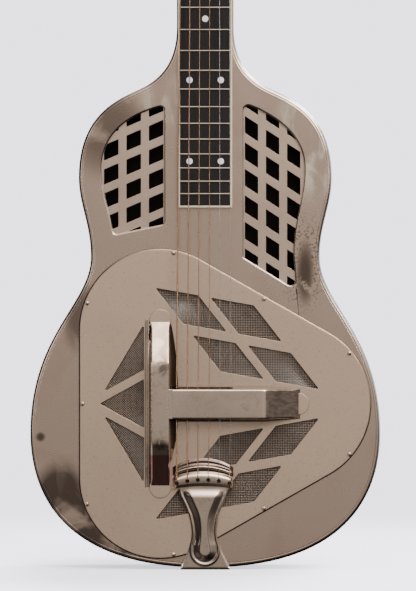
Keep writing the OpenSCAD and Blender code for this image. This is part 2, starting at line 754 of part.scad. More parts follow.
module frets() {
    r = fret_width / 2;
    color("silver") for (n = [1:fret_count]) {
        translate([0, -board_front, fret_z(n)]) across(-core_half, core_half) difference() {
            scale([fret_height / r, 1]) circle(r, $fn = 24);
            translate([0, -5]) square(10);
        }
        box(-core_half, core_half, -board_front - touch, -board_front + tang_depth,
            fret_z(n) - tang_width / 2, fret_z(n) + tang_width / 2);
    }
}
module position_dots() {
    color("white") for (p = dot_places())
        front(board_front - dot_depth, dot_depth) translate(p) circle(dot_diameter / 2);
}
module nut() {
    color("ivory") difference() {
        across(-board_width / 2, board_width / 2) polygon([[-half_depth, nut_z], [-half_depth, neck_end],
            [-nut_front + 1, neck_end], [-nut_front, neck_end - 1], [-nut_front, nut_z + 1],
            [-nut_front + 1, nut_z]]);
        for (i = [0:5]) translate([nut_point(i).x, -nut_front, nut_z - 1])
            cylinder(r = string_radii[i] + 0.05, h = nut_thickness + 2);
    }
}

// ---------------------------------------------------------------- headstock
module in_head_frame() {
    translate([0, -half_depth, neck_end]) rotate([-head_tilt, 0, 0]) children();
}
// Face outline in the headstock's own frame
head_face = concat(
    [[-head_base_width / 2, -12], [head_base_width / 2, -12], [head_base_width / 2, 4]],
    [[head_half, 18], [head_half, head_length - 12]],
    bezier([head_half, head_length - 12], [head_half - 2, head_length - 2], [20, head_length - 7],
           [0, head_length], 8),
    [[0, head_length]],
    flip(bezier([head_half, head_length - 12], [head_half - 2, head_length - 2], [20, head_length - 7],
           [0, head_length], 8)),
    [[-head_half, head_length - 12], [-head_half, 18], [-head_base_width / 2, 4]]);
module head_slots() {
    for (s = [-1, 1]) translate([s * (slot_bridge + slot_width) / 2, 0])
        slab([0, slot_low + slot_width / 2], [0, slot_high - slot_width / 2], slot_width);
}
module head_form(z_face, depth) {
    in_head_frame() front(-z_face - depth, depth) difference() {
        polygon(head_face);
        head_slots();
    }
}
module headstock() {
    tip = in_head([0, head_thickness - 2.5, head_run]);
    color("saddlebrown") difference() {
        union() {
            head_form(overlay, head_thickness - overlay);
            // Wedge that brings the neck's depth down to the headstock's thickness
            across(-head_base_width / 2, head_base_width / 2) polygon([
                [-half_depth + overlay + 1, neck_end - 5], [neck_rear, neck_end - 5],
                [neck_rear, neck_end + 4],
                [tip.y, tip.z], [tip.y - 5, tip.z]]);
        }
        box(-100, 100, -200, 200, 0, neck_end);
        in_head_frame() front(-overlay, 100) translate([-100, -100]) square(400);
        in_head_frame() front(-head_thickness - 60, 80) head_slots();
        // Each shaft runs through the rail and ends in the wood between the slots
        for (i = [0:5]) tuner_place(i) rotate([0, side_of(i) * 90, 0])
            translate([0, 0, slot_bridge / 2 - shaft_end])
                cylinder(r = shaft_diameter / 2 + shaft_fit, h = head_top_width);
    }
}
module headstock_overlay() {
    color("black") difference() {
        head_form(0, overlay);
        box(-100, 100, -200, 200, 0, neck_end);
    }
}

// ---------------------------------------------------------------- tuners
// Tooth outline that keeps an even gap to the worm's wave
function gear_outline() = [for (i = [0:gear_teeth * 8 - 1]) let (a = 360 * i / (gear_teeth * 8))
    (gear_radius + worm_throw * cos(gear_teeth * (a - 90))) * [cos(a), sin(a)]];
module tuner_place(i) {
    in_head_frame() translate([0, roller_y, roller_z(i)]) children();
}
module roller(i) {
    s = side_of(i);
    barrel_in = slot_bridge / 2 + 0.5;
    barrel_out = slot_bridge / 2 + slot_width - 0.5;
    tuner_place(i) rotate([0, s * 90, 0]) {
        translate([0, 0, slot_bridge / 2 - shaft_end + 0.4])
            cylinder(r = shaft_diameter / 2, h = barrel_in - slot_bridge / 2 + shaft_end);
        difference() {
            translate([0, 0, barrel_in]) cylinder(r = roller_diameter / 2, h = barrel_out - barrel_in);
            translate([0, 0, barrel_in + slot_width * 0.3]) rotate([90, 0, 0])
                cylinder(r = string_hole, h = 20, center = true, $fn = 24);
        }
        translate([0, 0, barrel_out - touch])
            cylinder(r = shaft_diameter / 2, h = gear_face - barrel_out + touch);
        translate([0, 0, gear_face - touch]) cylinder(r = gear_bore, h = gear_width + 0.8);
    }
}
module gear(i) {
    s = side_of(i);
    tuner_place(i) rotate([90, 0, 90]) translate([0, 0, s > 0 ? gear_face : -gear_face - gear_width])
        linear_extrude(gear_width) difference() {
            polygon(gear_outline());
            circle(gear_bore + seat_fit);
        }
}
// Turns the thread so that its low side meets the tooth that points at it
worm_phase = -90;
module worm(i) {
    s = side_of(i);
    tuner_place(i) translate([s * gear_middle, 0, worm_centre]) rotate([-90, 0, 0]) {
        translate([0, 0, -worm_length / 2]) rotate(worm_phase - 180 * worm_length / worm_pitch)
            linear_extrude(worm_length, twist = -360 * worm_length / worm_pitch, slices = 26, $fn = 12)
                translate([worm_throw, 0]) circle(worm_core, $fn = 12);
        translate([0, 0, -worm_length / 2 - ear_gap - ear_thickness - 0.6]) cylinder(r = worm_shaft, h = 3);
        translate([0, 0, worm_length / 2 - 1])
            cylinder(r = worm_shaft, h = key_reach - roller_y - worm_length / 2 + 5);
    }
}
module button(i) {
    s = side_of(i);
    tuner_place(i) translate([s * gear_middle, key_reach - roller_y, worm_centre]) rotate([-90, 0, 0])
        difference() {
            union() {
                cylinder(r1 = 2.6, r2 = 3.4, h = 3);
                intersection() {
                    translate([0, 0, 9]) rotate([90, 0, 0])
                        cylinder(r = button_width / 2, h = 6, center = true);
                    translate([-9, -9, 2]) cube([18, 18, 14]);
                }
            }
            translate([0, 0, -1]) cylinder(r = worm_shaft + seat_fit, h = 5);
        }
}
module ear(y0, s) {
    translate([s * gear_middle, y0, worm_centre]) rotate([-90, 0, 0])
        cylinder(r = ear_radius, h = ear_thickness);
    box(min(s * head_half, s * gear_middle), max(s * head_half, s * gear_middle), y0, y0 + ear_thickness,
        worm_centre - ear_radius, worm_centre + ear_radius);
}
module tuner_plate(s) {
    color("silver") difference() {
        union() {
            in_head_frame() box(min(s * head_half, s * plate_face), max(s * head_half, s * plate_face),
                roller_y - plate_half, roller_y + plate_half, plate_low, plate_high);
            for (k = [0:2]) in_head_frame() translate([0, 0, first_roller + k * tuner_pitch]) {
                ear(ear_front - ear_thickness, s);
                ear(ear_rear, s);
            }
        }
        for (k = [0:2]) in_head_frame() translate([s * gear_middle, 0, first_roller + k * tuner_pitch + worm_centre])
            rotate([-90, 0, 0]) cylinder(r = worm_shaft + shaft_fit, h = 40, center = true);
        for (k = [0:2]) in_head_frame() translate([s * head_half, roller_y, first_roller + k * tuner_pitch])
            rotate([0, 90, 0]) cylinder(r = shaft_diameter / 2 + shaft_fit, h = 10, center = true);
        for (z = plate_screws) in_head_frame() translate([s * head_half, roller_y, z])
            rotate([0, s * 90, 0]) cylinder(r = 1.2, h = 10, center = true, $fn = 24);
    }
}
module tuner_plate_bass() { tuner_plate(-1); }
module tuner_plate_treble() { tuner_plate(1); }
module tuner_plate_screws() {
    color("silver") for (s = [-1, 1], z = plate_screws) in_head_frame()
        translate([s * plate_face, roller_y, z]) rotate([0, s * 90, 0]) {
            rotate_extrude($fn = 24) intersection() {
                translate([0, -1.4]) circle(2.4);
                square([1.95, 3]);
            }
            translate([0, 0, -plate_sheet]) cylinder(r = 1.15, h = plate_sheet + 0.1, $fn = 24);
        }
}

top_plate();
side_bass();
side_treble();
back_plate();
neck_back();
tail_block();
neck_block();
back_braces();
well_posts();
lattice_bass();
lattice_treble();
sound_well();
cone_upper();
cone_lower();
cone_treble();
t_bridge();
saddle();
cover_plate();
cover_screens();
handrest();
cover_screws();
tailpiece();
tail_screws();
ball_ends();
fretboard();
fretboard_binding();
frets();
position_dots();
nut();
headstock();
headstock_overlay();
tuner_plate_bass();
tuner_plate_treble();
tuner_plate_screws();
strings();
for (i = [1:6]) {
    color("silver") roller(i - 1);
    color("gold") gear(i - 1);
    color("gold") worm(i - 1);
    color("ivory") button(i - 1);
}
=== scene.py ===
"""Looks of a square-necked metal resonator guitar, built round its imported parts."""

import json
import math
import random

import bpy
from bpy.props import FloatProperty, FloatVectorProperty, PointerProperty
from mathutils import Matrix, Vector


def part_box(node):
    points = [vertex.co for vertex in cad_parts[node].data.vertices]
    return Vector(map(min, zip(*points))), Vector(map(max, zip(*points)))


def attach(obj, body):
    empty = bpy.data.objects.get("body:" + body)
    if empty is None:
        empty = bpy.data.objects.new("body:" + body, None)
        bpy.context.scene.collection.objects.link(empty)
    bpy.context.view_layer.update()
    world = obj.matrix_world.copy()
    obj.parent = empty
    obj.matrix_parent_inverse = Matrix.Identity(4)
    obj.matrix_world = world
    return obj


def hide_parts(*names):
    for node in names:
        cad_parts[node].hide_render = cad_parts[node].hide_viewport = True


bl_info = {
    "name": "Resonator guitar",
    "version": (1, 0, 0),
    "blender": (4, 5, 0),
    "location": "3D View > Sidebar > Guitar",
    "description": "Models and finishes a square-necked metal resonator guitar",
    "category": "Object",
}

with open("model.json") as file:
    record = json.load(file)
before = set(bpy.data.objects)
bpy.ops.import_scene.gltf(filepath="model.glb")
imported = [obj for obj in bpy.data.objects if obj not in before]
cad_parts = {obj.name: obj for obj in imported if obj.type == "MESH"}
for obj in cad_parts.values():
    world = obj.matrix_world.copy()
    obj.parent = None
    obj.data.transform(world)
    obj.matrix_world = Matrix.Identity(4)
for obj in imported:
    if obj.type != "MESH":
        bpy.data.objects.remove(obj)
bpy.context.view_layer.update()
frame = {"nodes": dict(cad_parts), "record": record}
MM = 0.001
BODY = "instrument"
# Thickness of the body's side sheets
WALL = 1 * MM


def front_of(node):
    """How far a CAD node reaches in front of the body's middle plane."""
    return -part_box(node)[0][1]


def rear_of(node):
    """How far a CAD node reaches behind the body's middle plane."""
    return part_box(node)[1][1]


def middle(node, axis):
    """Middle of a CAD node along an axis."""
    low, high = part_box(node)
    return (low[axis] + high[axis]) / 2


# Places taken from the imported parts, in metres
TOP_FRONT = front_of("top_plate")
BACK_REAR = rear_of("back_plate")
COVER_FRONT = front_of("cover_plate")
REST_FRONT = front_of("handrest")
BOARD_FRONT = front_of("fretboard")
TAIL_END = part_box("side_bass")[0][2]
HALF_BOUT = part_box("top_plate")[1][0]
NECK_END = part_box("headstock")[0][2]
NECK_REAR = rear_of("neck_back")
HALF_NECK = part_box("neck_block")[1][0] + WALL
BRIDGE_Z = middle("saddle", 2)
BACK_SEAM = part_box("back_plate")[1][2]
CONE_NODES = ("cone_lower", "cone_treble", "cone_upper")
CONES = [(middle(node, 0), middle(node, 2)) for node in CONE_NODES]
CONE_FRONT = front_of("cone_lower")
CONE_FLOOR = -rear_of("cone_lower")
CONE_RADIUS = (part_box("cone_lower")[1][0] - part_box("cone_lower")[0][0]) / 2
UPRIGHT_X = CONES[0][0]


# ---- sizes and colours
def size(name, description, value):
    """A length in the sidebar, given in millimetres."""
    return FloatProperty(name=name, description=description, default=value * MM, unit="LENGTH", precision=5)


def tint(name, description, value):
    return FloatVectorProperty(name=name, description=description, default=value, subtype="COLOR", size=3,
                               min=0, max=1)


class BodySizes(bpy.types.PropertyGroup):
    """Sizes of the metal body."""
    bout_z: size("Lower bout height", "Height of the widest place above the tail", 138)
    half_waist: size("Half waist", "Half of the width across the waist", 115.7)
    waist_z: size("Waist height", "Height of the waist above the tail", 316.5)
    half_upper: size("Half upper bout", "Half of the width across the upper bout", 128)
    upper_z: size("Upper bout height", "Height of the upper bout's widest place", 396.5)
    shoulder_x: size("Shoulder", "Half width at the middle of the shoulder", 66.9)
    shoulder_z: size("Shoulder height", "Height of the middle of the shoulder", 485.5)
    join_z: size("Neck join", "Height where the shoulder has become the neck", 550)
    rim: size("Rim", "Radius of the rolled lips and of the back's rim", 1.5)
    roll: size("Front edge", "Radius of the top's rolled edge", 3.4)
    heel_start: size("Heel start", "Height where the back leaves its plane", 478)
    heel_end: size("Heel end", "Height where the heel has become the neck", 604)


class CoverSizes(bpy.types.PropertyGroup):
    """Sizes of the cover plate, its wire cloth and the handrest."""
    radius: size("Corner radius", "Radius of the cover plate's corners", 82)
    sheet: size("Sheet", "Thickness of the cover plate", 1)
    roll: size("Roll", "Radius of the cover plate's turned edge", 1.25)
    slot: size("Slot width", "Width of the slot round the bridge", 11)
    wire: size("Wire", "Half thickness of a wire of the cloth", 0.21)
    pitch: size("Wire pitch", "Distance between wires of the cloth", 1.7)
    crest: size("Crest width", "Width of the upright bar's crest", 18.8)
    cross: size("Cross bar width", "Width of the cross bar's crest", 30)


class TailSizes(bpy.types.PropertyGroup):
    """Sizes of the tailpiece."""
    sheet: size("Sheet", "Thickness of the stamped sheet", 1.4)
    rib: size("Rib", "Height of the embossed rib on the stem", 2.4)
    hole: size("Keyhole", "Radius of a keyhole", 2.1)


class Colours(bpy.types.PropertyGroup):
    """Colours of the finishes."""
    body: tint("Body", "Tarnished nickel-silver of the body", (0.60, 0.44, 0.34))
    # Also the colour of the painted dark reflections on the body's front
    tarnish_and_reflection: tint("Tarnish", "Darker clouds on the body", (0.13, 0.095, 0.075))
    cover: tint("Cover", "Satin nickel-silver of the cover plate", (0.56, 0.405, 0.30))
    polish: tint("Polished metal", "Handrest and tailpiece", (0.72, 0.55, 0.43))
    wire: tint("Wire cloth", "Cloth under the cover plate", (0.62, 0.51, 0.43))
    # Painted shade: far darker than spun aluminium, for the shade in the body's well; the cast bridge takes
    # it too
    cone: tint("Cones", "Spun aluminium", (0.09, 0.085, 0.08))
    bronze: tint("Bronze", "Windings of the four thicker strings", (0.40, 0.235, 0.155))
    board: tint("Fretboard", "Ebony", (0.010, 0.0075, 0.0065))
    cream: tint("Cream", "Binding, nut and buttons", (0.70, 0.58, 0.42))
    wood: tint("Headstock", "Stained mahogany", (0.16, 0.055, 0.025))
    floor: tint("Floor", "Seamless paper under and behind the guitar", (0.80, 0.79, 0.87))


def body_sizes():
    return bpy.context.scene.guitar_body


def cover_sizes():
    return bpy.context.scene.guitar_cover


def tail_sizes():
    return bpy.context.scene.guitar_tail


def colours():
    return bpy.context.scene.guitar_colours


# ---- shader helpers
class Value:
    """An output of a material's node. Arithmetic on it adds Math nodes."""

    def __init__(self, finish, socket):
        self.finish = finish
        self.socket = socket

    def maths(self, operation, *others):
        return self.finish.node("ShaderNodeMath", {"operation": operation}, *others)

    def __add__(self, other):
        return self.maths("ADD", self, other)

    def __sub__(self, other):
        return self.maths("SUBTRACT", self, other)

    def __rsub__(self, other):
        return self.maths("SUBTRACT", other, self)

    def __mul__(self, other):
        return self.maths("MULTIPLY", self, other)

    def __truediv__(self, other):
        return self.maths("DIVIDE", self, other)

    def __pow__(self, other):
        return self.maths("POWER", self, other)

    def __abs__(self):
        return self.maths("ABSOLUTE", self)

    __radd__ = __add__
    __rmul__ = __mul__

    def largest(self, other):
        return self.maths("MAXIMUM", self, other)

    def smallest(self, other):
        return self.maths("MINIMUM", self, other)

    def sine(self):
        return self.maths("SINE", self)

    def rise(self, low, high):
        """0 below low, 1 above high and smooth between them."""
        settings = {"interpolation_type": "SMOOTHSTEP"}
        return self.finish.node("ShaderNodeMapRange", settings, self, low, high, 0, 1)

    def between(self, start, end):
        """1 from start to end, which are pairs of numbers that each soft edge lies between."""
        return self.rise(*start) * (1 - self.rise(*end))


class Finish:
    """A procedural material on the Principled shader."""

    def __init__(self, name, metallic=0.0, roughness=0.5):
        self.material = bpy.data.materials.new(name)
        self.material.use_nodes = True
        self.tree = self.material.node_tree
        self.shader = self.tree.nodes["Principled BSDF"]
        self.where = Value(self, self.tree.nodes.new("ShaderNodeTexCoord").outputs["Object"])
        self.set("Metallic", metallic)
        self.set("Roughness", roughness)

    def node(self, kind, settings, *inputs, output=0, **named):
        made = self.tree.nodes.new(kind)
        for key, value in settings.items():
            setattr(made, key, value)
        for key, value in list(enumerate(inputs)) + list(named.items()):
            self.feed(made.inputs[key], value)
        return Value(self, made.outputs[output])

    def feed(self, socket, value):
        if isinstance(value, Value):
            self.tree.links.new(value.socket, socket)
        elif hasattr(socket.default_value, "__len__"):
            socket.default_value = tuple(value) + (1,) * (len(socket.default_value) - len(value))
        else:
            socket.default_value = value

    def set(self, name, value):
        self.feed(self.shader.inputs[name], value)

    def noise(self, scale, detail=3.0, stretch=(1, 1, 1), shift=(0, 0, 0), warp=0.0):
        """Noise with so many cells to the metre, stretched along the axes."""
        place = self.node("ShaderNodeMapping", {}, self.where, shift, (0, 0, 0), stretch)
        return self.node("ShaderNodeTexNoise", {}, Vector=place, Scale=scale, Detail=detail, Distortion=warp)

    def parts(self, vector):
        outputs = self.node("ShaderNodeSeparateXYZ", {}, vector).socket.node.outputs
        return [Value(self, output) for output in outputs]

    def axes(self):
        """The place on the guitar, as three numbers."""
        return self.parts(self.where)

    def facing(self):
        """The surface's normal, as three numbers."""
        return self.parts(Value(self, self.where.socket.node.outputs["Normal"]))

    def dark_edge_reflection(self, start=0.01, full=0.13):
        """1 where a front edge rolls away to the left, below or right: a mask for painting the dark
        reflection of the surroundings.
        """
        right, back, up = self.facing()
        lit = (up * 0.8 + right * 0.45).rise(0.1, 0.5)
        return (1 + back).rise(start, full) * (1 - lit) * (1 - back.rise(0.1, 0.6))

    def mix(self, factor, a, b):
        made = self.tree.nodes.new("ShaderNodeMix")
        made.data_type = "RGBA"
        sockets = {s.identifier: s for s in made.inputs}
        for key, value in (("Factor_Float", factor), ("A_Color", a), ("B_Color", b)):
            self.feed(sockets[key], value)
        return Value(self, next(s for s in made.outputs if s.identifier == "Result_Color"))

    def paint(self, base, *layers):
        """Sets the colour: a base with further colours over it, each through its mask."""
        for mask, colour in layers:
            base = self.mix(mask, base, colour)
        self.set("Base Color", base)

    def bump(self, height, strength, distance=0.1 * MM):
        bumped = self.node("ShaderNodeBump", {}, Strength=strength, Distance=distance, Height=height)
        self.set("Normal", bumped)

    def spots(self, *places):
        """Soft ellipses on the front, each given as x, z, half width, half height and strength."""
        across, _, up = self.axes()
        total = None
        for x, z, half_width, half_height, strength in places:
            aside = (across - x) / half_width
            above = (up - z) / half_height
            spot = (1 - (aside * aside + above * above).rise(0.0, 1.0)) * strength
            total = total.largest(spot) if total else spot
        return total


def scaled(colour, factor):
    """A colour made darker or lighter."""
    return tuple(min(1.0, c * factor) for c in colour)


# ---- finishes
# Places on the body's front, in metres: x, z, half width, half height and strength. The first table holds
# painted dark reflections; CURL, WAIST_STAIN and SPECKLED are stains.
DARK_REFLECTION_SPOTS = ((-0.146, 0.062, 0.036, 0.055, 1.6), (-0.105, 0.032, 0.05, 0.03, 1.6),
           (-0.128, 0.26, 0.02, 0.05, 0.8), (-0.1, 0.445, 0.05, 0.06, 0.8))
CURL = (-0.1665, 0.134, 0.006, 0.006, 1)
WAIST_STAIN = (0.101, 0.30, 0.011, 0.04, 1)
SPECKLED = (0.1, 0.31, 0.03, 0.06, 0.8)
# Painted highlights: places where the body is lighter; then the marks on the handrest's crest
HIGHLIGHT_SPOTS = ((0.105, 0.43, 0.045, 0.07, 1), (-0.03, 0.475, 0.05, 0.03, 0.6))
REST_MARKS = ((UPRIGHT_X + 0.003, 0.208, 0.008, 0.016, 0.7), (UPRIGHT_X, 0.127, 0.009, 0.008, 0.7))
# Colours of the body's rosy wear, and of the painted light on bent sheet that stands for what it mirrors:
# highlights, dark reflections and shade
ROSY = (0.50, 0.33, 0.26)
RIM_HIGHLIGHT = (0.98, 0.95, 0.92)
EDGE_AND_INSIDE_SHADE = (0.02, 0.016, 0.014)
COVER_PITS_AND_EDGE_REFLECTION = (0.03, 0.022, 0.018)
REST_WALL_SHADE = (0.02, 0.015, 0.013)
HIP_DARK_REFLECTION = (0.15, 0.10, 0.09)
CREST_DARK_REFLECTION = (0.24, 0.15, 0.11)
FOOT_DARK_REFLECTION = (0.42, 0.17, 0.17)
HEAD_VALLEY_SHADE = (0.07, 0.04, 0.035)
STEM_SLOPE_SHADE = (0.13, 0.07, 0.075)
STEM_SHADOW = (0.05, 0.035, 0.03)


def metal(name, colour, dark, cloud, roughness, grain):
    """Plated or bare sheet metal: soft tarnished clouds and fine grain."""
    finish = Finish(name, 1.0)
    clouds = finish.noise(cloud, 4.0, warp=0.6).rise(0.35, 0.72)
    fine = finish.noise(grain, 2.0, shift=(0.3, 0.1, 0.2))
    base = finish.mix(clouds, colour, dark)
    base = finish.mix(fine.rise(0.3, 0.7) * 0.22, base, scaled(colour, 1.25))
    finish.paint(base)
    finish.set("Roughness", roughness + clouds * 0.07 + fine * 0.04)
    finish.bump(fine, 0.08)
    return finish, base


def body_metal():
    """Worn plating with rosy wear and stain marks, and painted light: dark reflections, highlight streaks, a
    highlight on the upper rim, and shade on the lower edges and inner faces.
    """
    c = colours()
    finish, base = metal("body_metal", c.body, scaled(c.body, 0.82), 9, 0.22, 900)
    right, back, up = finish.facing()
    across, deep, _ = finish.axes()
    # Painted dark reflections on the body's front, broken up by noise; below they join the real stains and
    # take the tarnish colour
    dark_reflections = finish.spots(*DARK_REFLECTION_SPOTS).smallest(1) * finish.noise(26, 3.0, warp=0.8).rise(0.28, 0.52)
    waist = finish.spots(WAIST_STAIN) * finish.noise(70, 4.0, warp=1.0, stretch=(1, 1, 0.4)).rise(0.4, 0.5)
    speckle = finish.spots(SPECKLED) * finish.noise(420, 2.0).rise(0.5, 0.62)
    stains_and_dark_reflections = dark_reflections.largest(finish.spots(CURL)).largest(waist).largest(speckle)
    worn = finish.noise(14, 4.0, shift=(0.5, 0.2, 0.7), warp=1.2).rise(0.45, 0.75)
    # Streaks of painted highlight, laid on the highlight spots in a lighter body colour
    streak = finish.noise(30, 3.0, shift=(0.9, 0.1, 0.4), stretch=(1.6, 1, 0.5), warp=0.9).rise(0.42, 0.62)
    # Painted highlight on the front rim where it turns up and to the right
    rim = (1 + back).rise(0.01, 0.12) * (up * 0.7 + right * 0.7).rise(0.15, 0.6)
    rim = rim * deep.between((-0.06, -0.04), (-0.036, -0.034))
    # Painted shade on the inner faces of the body's sheets; with the turned edges' painted dark reflection
    # it takes the near-black
    inside = (1 - (right * across * 0.25 + back * deep).rise(-0.0008, -0.0002)) * deep.rise(-0.034, -0.032)
    finish.paint(base, (worn * 0.5, ROSY), (finish.spots(*HIGHLIGHT_SPOTS) * streak, scaled(c.body, 1.9)),
                 (rim * 0.8, RIM_HIGHLIGHT), (stains_and_dark_reflections, c.tarnish_and_reflection),
                 (inside.largest(finish.dark_edge_reflection() * 0.85), EDGE_AND_INSIDE_SHADE))
    return finish.material


def cover_metal():
    """Satin plating with fine dark pits, and a painted dark reflection on its turned edge."""
    c = colours()
    finish, base = metal("cover_metal", c.cover, scaled(c.cover, 0.90), 7, 0.36, 1400)
    pits = finish.noise(700, 1.0, shift=(0.7, 0.3, 0.1)).rise(0.66, 0.74) * 0.35
    finish.paint(base, (pits.largest(finish.dark_edge_reflection(0.003, 0.04) * 0.95), COVER_PITS_AND_EDGE_REFLECTION))
    return finish.material


def polished_metal():
    """Handrest and tailpiece: bright sheet with smudges and marks, and painted dark reflections and shade on
    its walls, slopes, folds and valleys.
    """
    c = colours()
    finish, base = metal("polished_metal", c.polish, scaled(c.polish, 0.75), 22, 0.14, 800)
    right, back, _ = finish.facing()
    # Millimetres from the guitar's middle, from the upright bar, from the bridge's line and from the tail
    middle_x, deep, tall = (part / MM for part in finish.axes())
    x, z = middle_x - UPRIGHT_X / MM, tall - BRIDGE_Z / MM
    smudge = finish.noise(120, 4.0, shift=(0.2, 0.8, 0.4), warp=1.0).rise(0.55, 0.75)
    marks = finish.spots(*REST_MARKS) * finish.noise(90, 4.0, warp=1.5).rise(0.42, 0.56)
    # Handrest: painted dark reflections on the hipped end, on the crest's upper slope and at its foot, and
    # painted shade on the walls and folds
    brushed = finish.noise(300, 3.0, stretch=(0.15, 1, 1)).rise(0.3, 0.7)
    hip = middle_x.between((60.4, 61.2), (97.5, 98)) * (1 - abs(z).rise(14.6, 15.2))
    crest = 1 - abs(x).rise(9.3, 9.6)
    sheen = finish.noise(45, 3.0, shift=(0.3, 0.3, 0.1), warp=1.2).rise(0.38, 0.60)
    foot = (0 - z).rise(50, 52.5) * crest * tall.rise(83.5, 84.5)
    flared = tall.rise(121, 123)
    wall = x.rise(9.3, 9.9) * abs(z).rise(14.6, 15.4) * flared
    beside = x.between((9.3, 9.9), (10.6, 10.9)) * (1 - flared)
    left = (0 - x).between((9.3, 9.5), (11.4, 11.8)) * 0.95
    folds = (1 - abs(x + 13.3).smallest(abs(x + 15.2)).rise(0.25, 0.6)) * 0.75
    # Tailpiece: painted shade in the head's valleys and on the stem's slopes
    height = 0 - deep - (STEM_FRONT / MM + 0.4)
    head = tall.between((94, 95.5), (113.2, 113.7)) * middle_x.rise(-35.2, -34.8)
    stem = tall.between((4, 7), (80, 83)) * (1 - (1 + back).rise(0.35, 0.5))
    finish.paint(base, (smudge * 0.5, scaled(c.polish, 0.6)), (marks, scaled(c.tarnish_and_reflection, 0.7)),
                 (hip * (0.35 + brushed * 0.35), HIP_DARK_REFLECTION),
                 (z.rise(40.5, 43.0) * crest * sheen * 0.6, CREST_DARK_REFLECTION),
                 (foot * 0.85, FOOT_DARK_REFLECTION),
                 (head * (1 - height.rise(3.3, 4.7)) * 0.85, HEAD_VALLEY_SHADE),
                 (right.between((0.10, 0.22), (0.16, 0.45)) * stem * 0.85, STEM_SLOPE_SHADE),
                 ((0 - right).rise(0.10, 0.22) * stem * 0.92, STEM_SHADOW),
                 (wall.largest(beside).largest(left).largest(folds) * 0.94, REST_WALL_SHADE))
    return finish.material


def plain_metal(name, colour, roughness, cloud=30):
    return metal(name, colour, scaled(colour, 0.7), cloud, roughness, 1500)[0].material


def spun_metal():
    """Spun aluminium: fine rings, which the cone's own map gives as its radius; its dark colour is painted
    shade.
    """
    c = colours()
    finish = Finish("spun_aluminium", 1.0)
    radius = finish.node("ShaderNodeAttribute", {"attribute_name": "ring"}, output=2)
    rings = (radius * 9000).sine() * 0.5 + 0.5
    cloud = finish.noise(30, 3.0).rise(0.3, 0.7)
    finish.paint(c.cone, (rings * 0.3 + cloud * 0.25, scaled(c.cone, 0.6)))
    finish.set("Roughness", 0.26 + rings * 0.12)
    finish.bump(rings, 0.3)
    return finish.material


def wound_metal():
    """Bronze winding: ridges along each string, with painted shade in the grooves between them."""
    c = colours()
    finish = Finish("wound_bronze", 1.0)
    ridges = abs((finish.axes()[2] * (math.pi / (0.5 * MM))).sine())
    worn = finish.noise(60, 3.0).rise(0.3, 0.7)
    finish.paint(scaled(c.bronze, 0.45), (ridges, c.bronze), (worn * 0.4, scaled(c.bronze, 0.6)))
    finish.set("Roughness", 0.34 - ridges * 0.1)
    finish.bump(ridges, 0.8)
    return finish.material


def wood(name, colour, dark, roughness, ring_scale=1.0):
    """Straight-grained wood with pores along +Z."""
    finish = Finish(name)
    flow = finish.noise(60 * ring_scale, 4.0, stretch=(1, 1, 0.06), warp=0.7)
    pores = finish.noise(900, 2.0, stretch=(1, 1, 0.03), shift=(0.4, 0.1, 0)).rise(0.55, 0.72)
    tone = finish.noise(7, 2.0, shift=(0.1, 0.6, 0.3))
    finish.paint(colour, (flow.rise(0.3, 0.7), dark), (pores * 0.6, scaled(dark, 0.5)),
                 (tone.rise(0.35, 0.7) * 0.4, scaled(colour, 1.3)))
    finish.set("Roughness", roughness + pores * 0.2 + flow * 0.08)
    finish.set("Specular IOR Level", 0.2)
    finish.bump(1 - pores, 0.25, 0.15 * MM)
    return finish.material


def aged_plastic(name, colour, roughness=0.3, streak=(1, 1, 0.15)):
    """Celluloid or bone: faint streaks, yellowed hollows and a soft gloss."""
    finish = Finish(name)
    streaks = finish.noise(260, 3.0, stretch=streak, warp=0.8)
    age = finish.noise(35, 3.0, shift=(0.2, 0.5, 0.9)).rise(0.35, 0.75)
    yellowed = (colour[0] * 0.9, colour[1] * 0.78, colour[2] * 0.55)
    finish.paint(colour, (streaks.rise(0.35, 0.65) * 0.4, scaled(colour, 0.78)), (age * 0.4, yellowed))
    finish.set("Roughness", roughness + streaks * 0.12)
    finish.set("Subsurface Weight", 0.06)
    finish.set("Subsurface Scale", 2 * MM)
    finish.bump(streaks, 0.12)
    return finish.material


def pearl():
    """Mother-of-pearl: cells that shimmer between green, rose and white."""
    finish = Finish("pearl")
    cells = finish.noise(320, 3.0, warp=2.0)
    finish.paint((0.80, 0.84, 0.80), (cells.rise(0.35, 0.65), (0.90, 0.80, 0.82)),
                 (cells.rise(0.55, 0.75) * 0.5, (0.95, 0.95, 0.93)))
    finish.set("Roughness", 0.16 + cells * 0.15)
    finish.set("Coat Weight", 0.5)
    finish.bump(cells, 0.1)
    return finish.material


